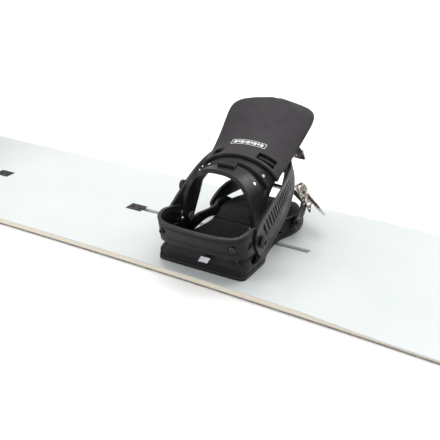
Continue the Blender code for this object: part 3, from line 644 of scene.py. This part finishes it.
def joined(*meshes):
    """One mesh of several finished ones that only touch."""
    bm = bmesh.new()
    for mesh in meshes:
        bm.from_mesh(mesh)
    whole = bpy.data.meshes.new("joined")
    bm.to_mesh(whole)
    bm.free()
    return whole


def place_piece(name, mesh, body, look):
    """A finished mesh as a piece that rides on a body."""
    mesh.materials.clear()
    mesh.materials.append(LOOKS[look])
    obj = linked(name, mesh)
    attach(obj, body)
    return obj


def pair(name, mesh, body, look, nodes=()):
    """The piece on the front binding and its mirror image on the rear one."""
    made = []
    for label, side in (("front_", 1), ("rear_", -1)):
        copy = mesh.copy()
        home = Matrix.Translation((side * STANCE / 2, 0, THICK))
        copy.transform(home @ Matrix.Diagonal((side, 1, 1, 1)))
        if side < 0:
            copy.flip_normals()
        obj = place_piece(label + name, copy, label + body, look)
        if nodes:
            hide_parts(*[label + node for node in nodes])
        made.append(obj)
    return made


# ------------------------ base plate and hoop

def base_plate():
    """Wall with a sunk heel face and two windows a side, the floor, and grip ribs."""
    def relief(u, v):
        x, y = base_plan(u)
        heel = ease(-y, 0.098, 0.106)
        return 0.0017 * band(abs(x), 0.0, 0.0535, 0.0012) * heel * band(v, 0.06, 0.62, 0.03)

    def moon_foot(t):
        return -0.044 + 0.060 * t, 0.0105 - 0.0015 * t

    wall = shell(lifted(base_wall, relief), lifted(base_wall, lambda u, v: WALL), 170, 20)
    oval = [(-0.079 + 0.011 * cos(a), 0.0155 + 0.0042 * sin(a)) for a in (2 * pi * k / 24 for k in range(24))]
    moon = [moon_foot(k / 10) for k in range(11)]
    for t in (1 - k / 16 for k in range(1, 16)):
        y, z = moon_foot(t)
        moon.append((y, z + 0.0095 * sin(pi * t) ** 0.8))
    turn = Matrix(((0, 0, 1, 0), (1, 0, 0, 0), (0, 1, 0, 0), (0, 0, 0, 1)))
    through = 0.09
    cuts = [prism(oval, -through, through, turn), prism(moon, -through, through, turn)]
    rear = facing((0.0430, -0.1160, 0.0262), (0, -1, 0))
    cuts.append(prism(rounded(0.0058, 0.0014, 0.0012), -0.0020, 0.004, rear))
    pair("base_wall", bake(wall, 0.0007, cuts=cuts), "base", "moulded_black", ["base_plate"])

    outline = [base_plan(k / 90, 0.0, 1.0) for k in range(91)]
    nose = [(along(BASE_HALF, y), y) for y in (0.084, 0.090, 0.095, 0.099, 0.102, TOE_Y)]
    outline = [(x, y) for x, y in reversed(nose)] + outline + [(-x, y) for x, y in nose]
    grooves = [prism(rounded(0.030, 0.0012, 0.0011, 0, y), FLOOR - 0.0008, FLOOR + 0.001)
               for y in (0.088, 0.094)]
    floor = bake(prism(outline, GAP, FLOOR), 0.0009, cuts=grooves)
    pair("base_floor", floor, "base", "moulded_black")

    ribs = []
    for side in (1, -1):
        for k in range(5):
            y = 0.030 + 0.008 * k
            x = side * (along(BASE_HALF, y) + 0.0002)
            foot = facing((x, y, 0.0125), (side, 0, 0))
            rib = prism(rounded(0.0011, 0.0052 - 0.0006 * k, 0.001), -0.0010, 0.0007, foot)
            ribs.append(bake(rib, 0.0003, 1))
    pair("side_ribs", joined(*ribs), "base", "moulded_black")


def badge():
    """A plain plate on the heel, with a stepped edge and no mark."""
    place = facing((0.0110, -0.1172, 0.0205), (0.02, -1, 0.04))
    slant = [(a + 0.0024 * b / 0.0042, b) for a, b in rounded(0.0064, 0.0040, 0.0008)]
    inner = [(a * 0.84, b * 0.78) for a, b in slant]
    plate = bake(prism(slant, -0.0012, 0.0007, place), 0.0003, 2, cuts=[prism(inner, 0.00045, 0.002, place)])
    pair("badge_plate", plate, "base", "plate")


def heel_hoop():
    """Hoop round the heel with a lip, a groove, four sunk places, and two bolts."""
    def relief(u, v):
        x, y = base_plan(HOOP_FROM + HOOP_SPAN * u)
        heel = ease(-y, 0.090, 0.105)
        lip = 0.0014 * band(v, 0.82, 0.90, 0.025) * heel
        groove = 0.0012 * band(v, 0.22, 0.30, 0.035) * band(abs(x), 0.0, 0.054, 0.004) * heel
        return lip + groove

    outer = lifted(hoop_face, relief)
    inner = lifted(hoop_face, lambda u, v: HOOP - 0.0008 * ease(v, 0.80, 0.95))
    profile = ((0, -0.0010), (0.0016, -0.0010), (0.0017, 0.0004), (0.0030, 0.0004), (0.0038, -0.0004),
               (0.0038, -0.0032), (0, -0.0032))
    cuts = []
    bolts = []
    for side in (1, -1):
        place = facing((side * 0.0500, -0.1190, 0.0440), (side * 0.25, -1, 0.05))
        cuts.append(prism(circle(0.0062), -0.0030, 0.008, place))
        corner = facing((side * 0.0620, -0.0980, 0.0430), (side, -0.25, 0))
        cuts.append(prism(rounded(0.0042, 0.0042, 0.0010), -0.0020, 0.006, corner))
        bolts.append(bake(lathe(profile, place)))
    hoop = bake(shell(outer, inner, 150, 32), 0.0010, 3, cuts=cuts)
    pair("hoop_shell", hoop, "base", "hoop", ["heel_hoop"])
    pair("hoop_bolts", joined(*bolts), "base", "dark_bolt")


def footbeds():
    """Heel foam with a grid of dimples and toe foam with cross ribs, which meet at a thin joint."""
    low, high = 0.0097, 0.0185
    inner = WALL + 0.0008 + SEAT + 0.0012
    split = -0.003
    joint = 0.0008
    toe_end = 0.098
    nearly_all = 0.995
    dimple, dimple_share = 0.0052, 0.62
    rib = 0.0075

    def heel_half(y):
        if y > HEEL_Y:
            return along(BASE_HALF, y) - inner
        t = min((HEEL_Y - y) / (HEEL_DEPTH - inner), nearly_all)
        return (along(BASE_HALF, HEEL_Y) - inner) * (1 - t ** HEEL_SHAPE) ** (1 / HEEL_SHAPE)

    def toe_half(y):
        return (along(BASE_HALF, y) - WALL - 0.0024) * (1 - 0.05 * ease(y, 0.085, 0.098))

    def surface(half, start, end, level, dots, ribs):
        def point(u, v):
            y = start + (end - start) * v
            s = 2 * u - 1
            x = s * half(y)
            z = level
            if dots:
                waves = abs(sin(x * pi / dimple)) * abs(sin(y * pi / dimple))
                spread = max(waves - dimple_share, 0) / (1 - dimple_share)
                z += 0.0007 * spread * band(s, -0.82, 0.82, 0.04) * band(v, 0.10, 0.90, 0.02)
            if ribs:
                crest = max(sin(y * 2 * pi / rib), 0)
                z += 0.0006 * crest * band(s, -0.80, 0.80, 0.03) * band(v, 0.1, 0.9, 0.02)
            if level > low:
                edge = max(ease(abs(s), 0.93, 1.0), 1 - ease(v, 0, 0.03), ease(v, 0.97, 1))
                z -= 0.0006 + 0.0009 * edge
            return Vector((x, y, z))
        return point

    heel_start = HEEL_Y - (HEEL_DEPTH - inner) * nearly_all
    for node, half, start, end, across in (("heel_footbed", heel_half, heel_start, split, 96),
                                           ("toe_footbed", toe_half, split + joint, toe_end, 60)):
        heel = node == "heel_footbed"
        foam = shell(surface(half, start, end, high, heel, not heel),
                     surface(half, start, end, low, False, False), across, 96)
        pads = pair(node + "_pad", bake(foam, 0.0006, 1), "base", "footbed_foam", [node])


def side_bolts():
    """The straps' bolts: domed heads with a sunk middle and crossed slots, on shanks through the wall."""
    toe_end = along(BASE_HALF, TOE["mount"][0]) - WALL
    heads = {"ankle_bolt": (ANKLE, 0.0080, 0.0028, 0.0035, 0.0530),
             "toe_bolt": (TOE, 0.0060, 0.0024, 0.0025, toe_end)}
    for name, (loop, radius, height, shank, end) in heads.items():
        level = loop["half"] + ARM_T + BOLT_OUT
        top = level + height
        profile = ((0, level + 0.0004), (radius * 0.30, level + 0.0004), (radius * 0.32, top - 0.0002),
                   (radius * 0.36, top), (radius * 0.70, top), (radius * 0.93, level + height * 0.7),
                   (radius, level + height * 0.35), (radius, level), (shank, level), (shank, end), (0, end))
        for side, label in ((1, "outer"), (-1, "inner")):
            place = facing((0, *loop["mount"]), (side, 0, 0))
            slots = [prism(rounded(radius * 0.52, 0.0006, 0.0005), top - 0.0010, top + 0.001,
                           place @ Matrix.Rotation(pi / 2 * k, 4, 'Z')) for k in range(2)]
            head = bake(lathe(profile, place), 0.0002, 1, cuts=slots)
            bolt = "%s_%s" % (label, name)
            pair(bolt + "_head", head, "base", "dark_bolt", [bolt])


# ------------------------ highback

def surface_place(y, s):
    """Point and outward direction on the highback."""
    side = highback_point(y, s + 0.01) - highback_point(y, s - 0.01)
    ahead = highback_point(y + 0.001, s) - highback_point(y - 0.001, s)
    return highback_point(y, s), side.cross(ahead).normalized()


def highback_frame():
    """Arched frame with a rim, a groove and a roll across it, wells for the panel, and four screws."""
    length = FRAME_END - FRAME_START

    def surface(u, v):
        return highback_point(FRAME_START + length * v, 2 * u - 1)

    def relief(u, v):
        y = FRAME_START + length * v
        s = 2 * u - 1
        rim = 0.0016 * (1 - ease(y, -0.0630, -0.0605))
        groove = 0.0027 * band(y, -0.0320, -0.0262, 0.0010) * band(abs(s), 0, 0.80, 0.03)
        roll = 0.0012 * band(y, -0.0248, -0.0225, 0.0012) * band(abs(s), 0, 0.90, 0.05)
        wells = band(s, -0.72, -0.48, 0.02) + band(s, 0.28, 0.78, 0.02)
        well = 0.0030 * band(y, -0.0065, 0.0015, 0.0010) * wells
        legs = 0.0010 * band(abs(s), 0.985, 2, 0.01)
        return rim - groove + roll - well - legs

    inner = lifted(surface, lambda u, v: -FRAME_T)
    y, z = HIGHBACK_AXIS.yz
    cuts = [prism(circle(0.0040), 0.03, 0.07, facing((0, y, z), (side, 0, 0))) for side in (1, -1)]
    window = facing((0, -0.031, 0.10), (0, 0, 1))
    cuts.append(prism(rounded(0.0035, 0.0070, 0.0008), -0.01, 0.03, window))
    mesh = bake(shell(lifted(surface, relief), inner, 120, 96), 0.0009, 2, cuts=cuts)
    pair("highback_frame_shell", mesh, "highback", "hoop", ["highback_frame"])

    profile = ((0, 0.0004), (0.0007, 0.0004), (0.0008, 0.0009), (0.0015, 0.0009), (0.0021, 0.0003),
               (0.0021, -0.001), (0, -0.001))
    screws = []
    for s, y in ((-0.50, -0.041), (0.50, -0.041), (-0.62, -0.020), (0.62, -0.020)):
        point, normal = surface_place(y, s)
        screws.append(bake(lathe(profile, facing(point, normal, (0, 1, 0)), 18)))
    pair("highback_screws", joined(*screws), "highback", "white_screw")


def panel_surface(u, v):
    reach = (PANEL_END - PANEL_START) * 0.998
    return highback_point(PANEL_START + reach * sin(pi / 2 * v), 2 * u - 1, PANEL_LIFT)


def highback_panel():
    """Panel with a thinner rim, a raised foot, and two long slots over the frame's wells."""
    def relief(u, v):
        s = abs(2 * u - 1)
        rim = 0.0006 * max(ease(s, 0.955, 0.985), ease(v, 0.86, 0.92))
        foot = 0.0005 * (1 - ease(v, 0.02, 0.035))
        return PANEL_T - rim + foot

    def slots(u, v):
        s = 2 * u - 1
        return 0.020 < v < 0.100 and (-0.74 < s < -0.46 or 0.30 < s < 0.74)

    mesh = bake(shell(lifted(panel_surface, relief), panel_surface, 90, 88, slots), 0.0009, 3)
    pair("highback_panel_shell", mesh, "highback", "highback_panel", ["highback_panel"])


def label_bar():
    """A generic framed row of blocks, without letters, that follows the panel's face."""
    def on_panel(x, y):
        s = 0.0
        for _ in range(12):
            s += (x - highback_point(y, s).x) / 0.060
        normal = surface_place(y, s)[1]
        return highback_point(y, s, PANEL_LIFT) + normal * (PANEL_T + 0.00005), normal

    def strip(x0, x1, y0, y1, height=0.00022):
        """A thin raised patch between two x and two y on the panel."""
        count = max(int((x1 - x0) / 0.002), 1)

        def face(lift):
            def point(u, v):
                base, normal = on_panel(x0 + (x1 - x0) * u, y0 + (y1 - y0) * v)
                return base + normal * lift
            return point
        return bake(shell(face(height), face(-0.0008), count, 2))

    low, high = 0.0170, 0.0262
    left, right = -0.0275, 0.0205
    line, post, margin, space = 0.0007, 0.0008, 0.0035, 0.9
    bar = [strip(left, right, high - line, high), strip(left, right, low, low + line),
           strip(left, left + post, low, high), strip(right - post, right, low, high)]
    widths = (3, 2, 3, 1, 3, 2, 3, 2, 3)
    unit = (right - left - 2 * margin) / (sum(widths) + space * (len(widths) - 1))
    x = left + margin
    for k, width in enumerate(widths):
        rise = 0.0010 if k % 2 else 0.0
        bar.append(strip(x, x + width * unit, low + 0.0022 + rise, high - 0.0022, 0.0002))
        x += (width + space) * unit
    pair("panel_blocks", joined(*bar), "highback", "print")


def lean_adjuster():
    """Small block with grip ridges that slides on the frame."""
    def surface(u, v):
        return highback_point(-0.0470 + 0.013 * v, (2 * u - 1) * 0.10, GAP)

    def relief(u, v):
        ridge = 0.0005 * (sin(v * 2 * pi * 4.5) > 0) * band(abs(2 * u - 1), 0, 0.72, 0.06)
        return 0.0034 + ridge

    mesh = bake(shell(lifted(surface, relief), surface, 24, 36), 0.0005, 2)
    pair("lean_adjuster_block", mesh, "lean_block", "moulded_black", ["lean_adjuster"])


# ------------------------ straps

def strap_surface(loop, span, width, out=FLAT):
    """Underside of a strap between two places on its loop; width and out are tables along s."""
    start, end = span

    def point(u, v):
        s = start + (end - start) * u
        middle, _, across, normal = strap_frame(loop, s)
        return middle + across * ((0.5 - v) * along(width, s)) + normal * along(out, s)
    return point


def mount_cut(loop, side, radius):
    return prism(circle(radius), 0.050, 0.080, facing((0, *loop["mount"]), (side, 0, 0)))


def ankle_strap():
    """Toothed ladder with windows, slotted arm, cushion, length knob and buckle."""
    widths = ((0.02, 0.018), (0.4, 0.019), (0.55, 0.026), (0.7, 0.038), (0.85, 0.048), (1.0, 0.048),
              (1.05, 0.038), (1.09, 0.020))
    surface = strap_surface(ANKLE, ANKLE_LADDER_SPAN, widths)

    def relief(u, v):
        border = 0.0008 * (1 - band(v, 0.08, 0.92, 0.03))
        teeth = 0.0010 * (1 - (u * 52) % 1.0) * band(v, 0.14, 0.74, 0.02) * band(u, 0.02, 0.60, 0.004)
        return LADDER_T - 0.0007 + border + teeth

    def windows(u, v):
        return 0.62 < u < 0.900 and 0.12 < v < 0.56 and int(u * 208) % 4 in (1, 2)

    mesh = bake(shell(lifted(surface, relief), surface, 208, 18, windows), 0.0004, 1,
                cuts=[mount_cut(ANKLE, 1, ARM_HOLE)])
    pair("ankle_ladder_teeth", mesh, "ankle_strap", "strap_plastic", ["ankle_ladder"])

    widths = ((-1.09, 0.018), (-1.05, 0.028), (-1.0, 0.033), (-0.9, 0.031), (-0.6, 0.025), (-0.36, 0.018))
    surface = strap_surface(ANKLE, ANKLE_ARM_SPAN, widths)

    def arm_relief(u, v):
        rim = 0.0009 * (1 - band(v, 0.12, 0.88, 0.03))
        rib = 0.0006 * band(v, 0.44, 0.56, 0.03) * band(u, 0.2, 0.9, 0.02)
        return ARM_T - 0.0009 + rim + rib

    def arm_slots(u, v):
        side = 0.22 < v < 0.40 or 0.60 < v < 0.78
        return side and 0.26 < u < 0.84 and int(u * 90) % 5 in (1, 2, 3)

    mesh = bake(shell(lifted(surface, arm_relief), surface, 90, 22, arm_slots), 0.0005, 2,
                cuts=[mount_cut(ANKLE, -1, ARM_HOLE)])
    pair("ankle_arm_rail", mesh, "ankle_strap", "strap_plastic", ["ankle_arm"])
    ankle_pad()
    adjuster_knob()
    buckle("ankle", ANKLE, ANKLE_BUCKLE, ANKLE_SIZE, ANKLE_REACH)


def ankle_pad():
    """Cushion under the ankle strap, with two long channels and short cross ones between them."""
    widths = ((-0.54, 0.026), (-0.36, 0.044), (0.0, 0.050), (0.34, 0.048), (0.60, 0.044), (0.82, 0.030))
    inside = ((0, -GAP - PAD_T), (1, -GAP - PAD_T))
    surface = strap_surface(PAD, PAD_SPAN, widths, inside)

    def relief(u, v):
        s = abs(2 * v - 1)
        crown = 1 - ease(s, 0.72, 1.0) * 0.55
        ends = 1 - 0.5 * max(1 - ease(u, 0, 0.04), ease(u, 0.96, 1))
        cross = band(abs((u * 9) % 1.0 - 0.5), 0, 0.05, 0.05) * (1 - ease(s, 0.34, 0.40))
        return PAD_T * crown * ends - 0.0015 * (band(s, 0.40, 0.46, 0.04) + cross)

    def inner(u, v):
        s = abs(2 * v - 1)
        return 0.0012 * ease(s, 0.75, 1.0)

    mesh = bake(shell(lifted(surface, relief), lifted(surface, inner), 150, 36), 0.0008, 2)
    for piece in pair("ankle_pad_cushion", mesh, "ankle_strap", "strap_pad", ["ankle_pad"]):
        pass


def adjuster_knob():
    """Oval knob on the arm that locks its length, with a grip groove round its rim."""
    point, _, across, normal = strap_frame(ANKLE, -0.84)
    place = facing(point, normal, across) @ Matrix.Diagonal((0.85, 1.15, 1.0, 1.0))
    profile = ((0, 0.0142), (0.0038, 0.0142), (0.0044, 0.0132), (0.0070, 0.0140), (0.0086, 0.0132),
               (0.0091, 0.0118), (0.0084, 0.0108), (0.0091, 0.0098), (0.0091, 0.0084), (0.0050, 0.0076),
               (0.0046, 0.0030), (0, 0.0030))
    notches = [prism(circle(0.0011, 10, 0.0095 * cos(t), 0.0095 * sin(t)), 0.0078, 0.015, place) for t in
               (2 * pi * k / 14 for k in range(14))]
    knob = bake(lathe(profile, place, 36), 0.0003, 1, cuts=notches)
    pair("strap_length_knob", knob, "ankle_strap", "dark_bolt")


def toe_strap():
    """Open webbed cap, ladder with saw teeth between raised borders, and buckle."""
    widths = ((-1.12, 0.010), (-1.06, 0.017), (-0.8, 0.022), (-0.45, 0.038), (0.0, 0.042), (0.4, 0.034),
              (0.5, 0.024))
    surface = strap_surface(TOE, TOE_CAP_SPAN, widths)

    def relief(u, v):
        rim = 0.0008 * (1 - band(v, 0.10, 0.90, 0.03))
        rib = 0.0006 * band(v, 0.46, 0.54, 0.03) * band(u, 0.30, 0.96, 0.02)
        return ARM_T - 0.0008 + rim + rib

    def windows(u, v):
        side = 0.16 < v < 0.40 or 0.60 < v < 0.84
        return side and 0.42 < u < 0.94 and int(u * 130) % 10 in (2, 3, 4, 5, 6)

    mesh = bake(shell(lifted(surface, relief), surface, 130, 26, windows), 0.0007, 2,
                cuts=[mount_cut(TOE, -1, TOE_HOLE)])
    pair("toe_cap_web", mesh, "toe_strap", "strap_plastic", ["toe_cap"])

    widths = ((0.25, 0.016), (0.9, 0.017), (1.06, 0.016), (1.12, 0.010))
    over = ((0.60, TOE["lift"]), (0.86, 0.0))
    surface = strap_surface(TOE, TOE_LADDER_SPAN, widths, over)
    teeth = 34

    def ladder_relief(u, v):
        border = 0.0007 * (1 - band(v, 0.16, 0.84, 0.03))
        tooth = 0.0010 * (1 - (u * teeth) % 1.0) * band(v, 0.20, 0.80, 0.02) * band(u, 0.04, 0.76, 0.004)
        return LADDER_T - 0.0006 + border + tooth

    mesh = bake(shell(lifted(surface, ladder_relief), surface, teeth * 5, 14), 0.0003, 1,
                cuts=[mount_cut(TOE, 1, TOE_HOLE)])
    pair("toe_ladder_teeth", mesh, "toe_strap", "strap_plastic", ["toe_ladder"])
    buckle("toe", TOE, TOE_BUCKLE, TOE_SIZE, TOE_REACH)


def cheek_outline(length, height):
    """Side of a ratchet buckle: high round the lever's pin, tapering towards its lower end."""
    half = length / 2
    return [(-half, 0.0), (half, 0.0), (half, 0.0022), (half * 0.55, height * 0.42),
            (half * 0.25, height * 0.72), (0.0, height * 0.93), (-half * 0.30, height),
            (-half * 0.75, height * 0.98), (-half * 0.97, height * 0.80)]


def buckle(label, loop, s, size, reach):
    """Cast ratchet buckle: two pierced cheeks, a bridge, a lever with round windows, and its pin."""
    place = buckle_place(loop, s)
    length, inner, height = size
    half = inner / 2
    pin = height - BARREL - 0.0008
    upright = place @ Matrix(((1, 0, 0, 0), (0, 0, -1, 0), (0, 1, 0, 0), (0, 0, 0, 1)))
    pieces = []
    for low in (-half - CHEEK, half):
        holes = [prism(circle(radius, steps, length * share, height * level), -0.03, 0.03, upright)
                 for radius, steps, share, level in ((0.0021, 18, -0.36, 0.45), (0.0024, 18, 0.10, 0.36),
                                                     (0.0014, 14, 0.32, 0.20))]
        cheek = prism(cheek_outline(length, height), low, low + CHEEK, upright)
        pieces.append(bake(cheek, 0.0004, 2, cuts=holes))
    rear, front = -length / 2 + 0.0012, LEVER_AT - BARREL - 0.0014
    bridge = [(rear, height - 0.0030), (rear, height - 0.0012), (rear + 0.0018, height - 0.0002),
              (front, height - 0.0002), (front, height - 0.0026)]
    pieces.append(bake(prism(bridge, -half - 0.0002, half + 0.0002, upright), 0.0003, 2))
    pair(label + "_buckle_frame", joined(*pieces), label + "_strap", "buckle_metal",
         [label + "_buckle"])

    outline = [(LEVER_AT + BARREL * cos(a), pin + BARREL * sin(a)) for a in
               (pi / 2 + 1.35 * pi * k / 16 for k in range(17))]
    tip = LEVER_AT + reach
    outline += [(LEVER_AT + 0.25 * reach, pin - 0.0014), (LEVER_AT + 0.50 * reach, pin - 0.0010),
                (LEVER_AT + 0.78 * reach, pin + 0.0018), (tip - 0.0008, pin + 0.0042),
                (tip + 0.0012, pin + 0.0056), (tip + 0.0012, pin + 0.0076), (tip - 0.0010, pin + 0.0080),
                (LEVER_AT + 0.76 * reach, pin + 0.0058), (LEVER_AT + 0.50 * reach, pin + 0.0034),
                (LEVER_AT + 0.25 * reach, pin + 0.0026)]
    span = half - GAP
    body = prism(outline, -span, span, upright)
    cuts = [prism(circle(radius, 22, LEVER_AT + share * reach, 0.0, 1.25), pin - 0.012, pin + 0.016, place)
            for share, radius in ((0.34, 0.0034), (0.62, 0.0030))]
    grip = [prism(rounded(0.0005, span * 0.8, 0.0004, tip - 0.0030 - 0.0022 * k, 0),
                  pin + 0.0046 - 0.0004 * k, pin + 0.012, place) for k in range(3)]
    pair(label + "_lever_arm", bake(body, 0.0005, 2, cuts=cuts + grip), label + "_lever",
         "buckle_metal", [label + "_lever"])

    ends = [place @ Vector((LEVER_AT, side * (half + CHEEK + 0.0006), pin)) for side in (-1, 1)]
    rod = bake(tube([ends[0], ends[0].lerp(ends[1], 0.5), ends[1]], 0.0013, 16), 0.0003, 1)
    pair(label + "_lever_pin", rod, label + "_strap", "bolt_steel")


# ------------------------ board

def board():
    """The board's own layers, with a rim and two studs on each channel's plug."""
    for node, look in (("top_sheet", "deck"), ("core_and_sidewalls", "sidewall"), ("base_sheet", "base"),
                       ("steel_edge", "steel_edge")):
        paint(node, look)
    stud = ((0, 0.0003), (0.0012, 0.0003), (0.0014, 0.0008), (0.0024, 0.0008), (0.0028, 0.0003),
            (0.0028, -0.0003), (0, -0.0003))
    for label in ("front", "rear"):
        paint(label + "_channel_rail", "rail")
        paint(label + "_channel_plug", "moulded_black")
        low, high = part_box(label + "_channel_plug")
        middle = (low + high) / 2
        place = Matrix.Translation((middle.x, middle.y, THICK))
        rim = bake(prism(rounded(0.0125, 0.0088, 0.0012), -0.0004, 0.0005, place), 0.0003, 1,
                   cuts=[prism(rounded(0.0112, 0.0075, 0.0008), 0.0001, 0.001, place)])
        studs = [bake(lathe(stud, place @ Matrix.Translation((x, 0, 0)), 20)) for x in (-0.0058, 0.0058)]
        place_piece(label + "_plug_rim", rim, "board", "moulded_black")
        place_piece(label + "_plug_studs", joined(*studs), "board", "dark_bolt")


def paint(node, look):
    """Give a CAD node its look; its shape stays as packed."""
    obj = NODES[node]
    if not obj.data.materials:
        obj.data.materials.append(LOOKS[look])
    for place in obj.material_slots:
        place.material = LOOKS[look]


def paint_hardware():
    """Bolts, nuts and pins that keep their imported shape."""
    for side in ("front_outer_", "front_inner_", "rear_outer_", "rear_inner_"):
        for piece in ("channel_bolt", "channel_nut", "highback_pin"):
            paint(side + piece, "bolt_steel")


camera()
studio()
LOOKS = make_materials()
board()
paint_hardware()
base_plate()
badge()
heel_hoop()
footbeds()
side_bolts()
highback_frame()
highback_panel()
label_bar()
lean_adjuster()
ankle_strap()
toe_strap()
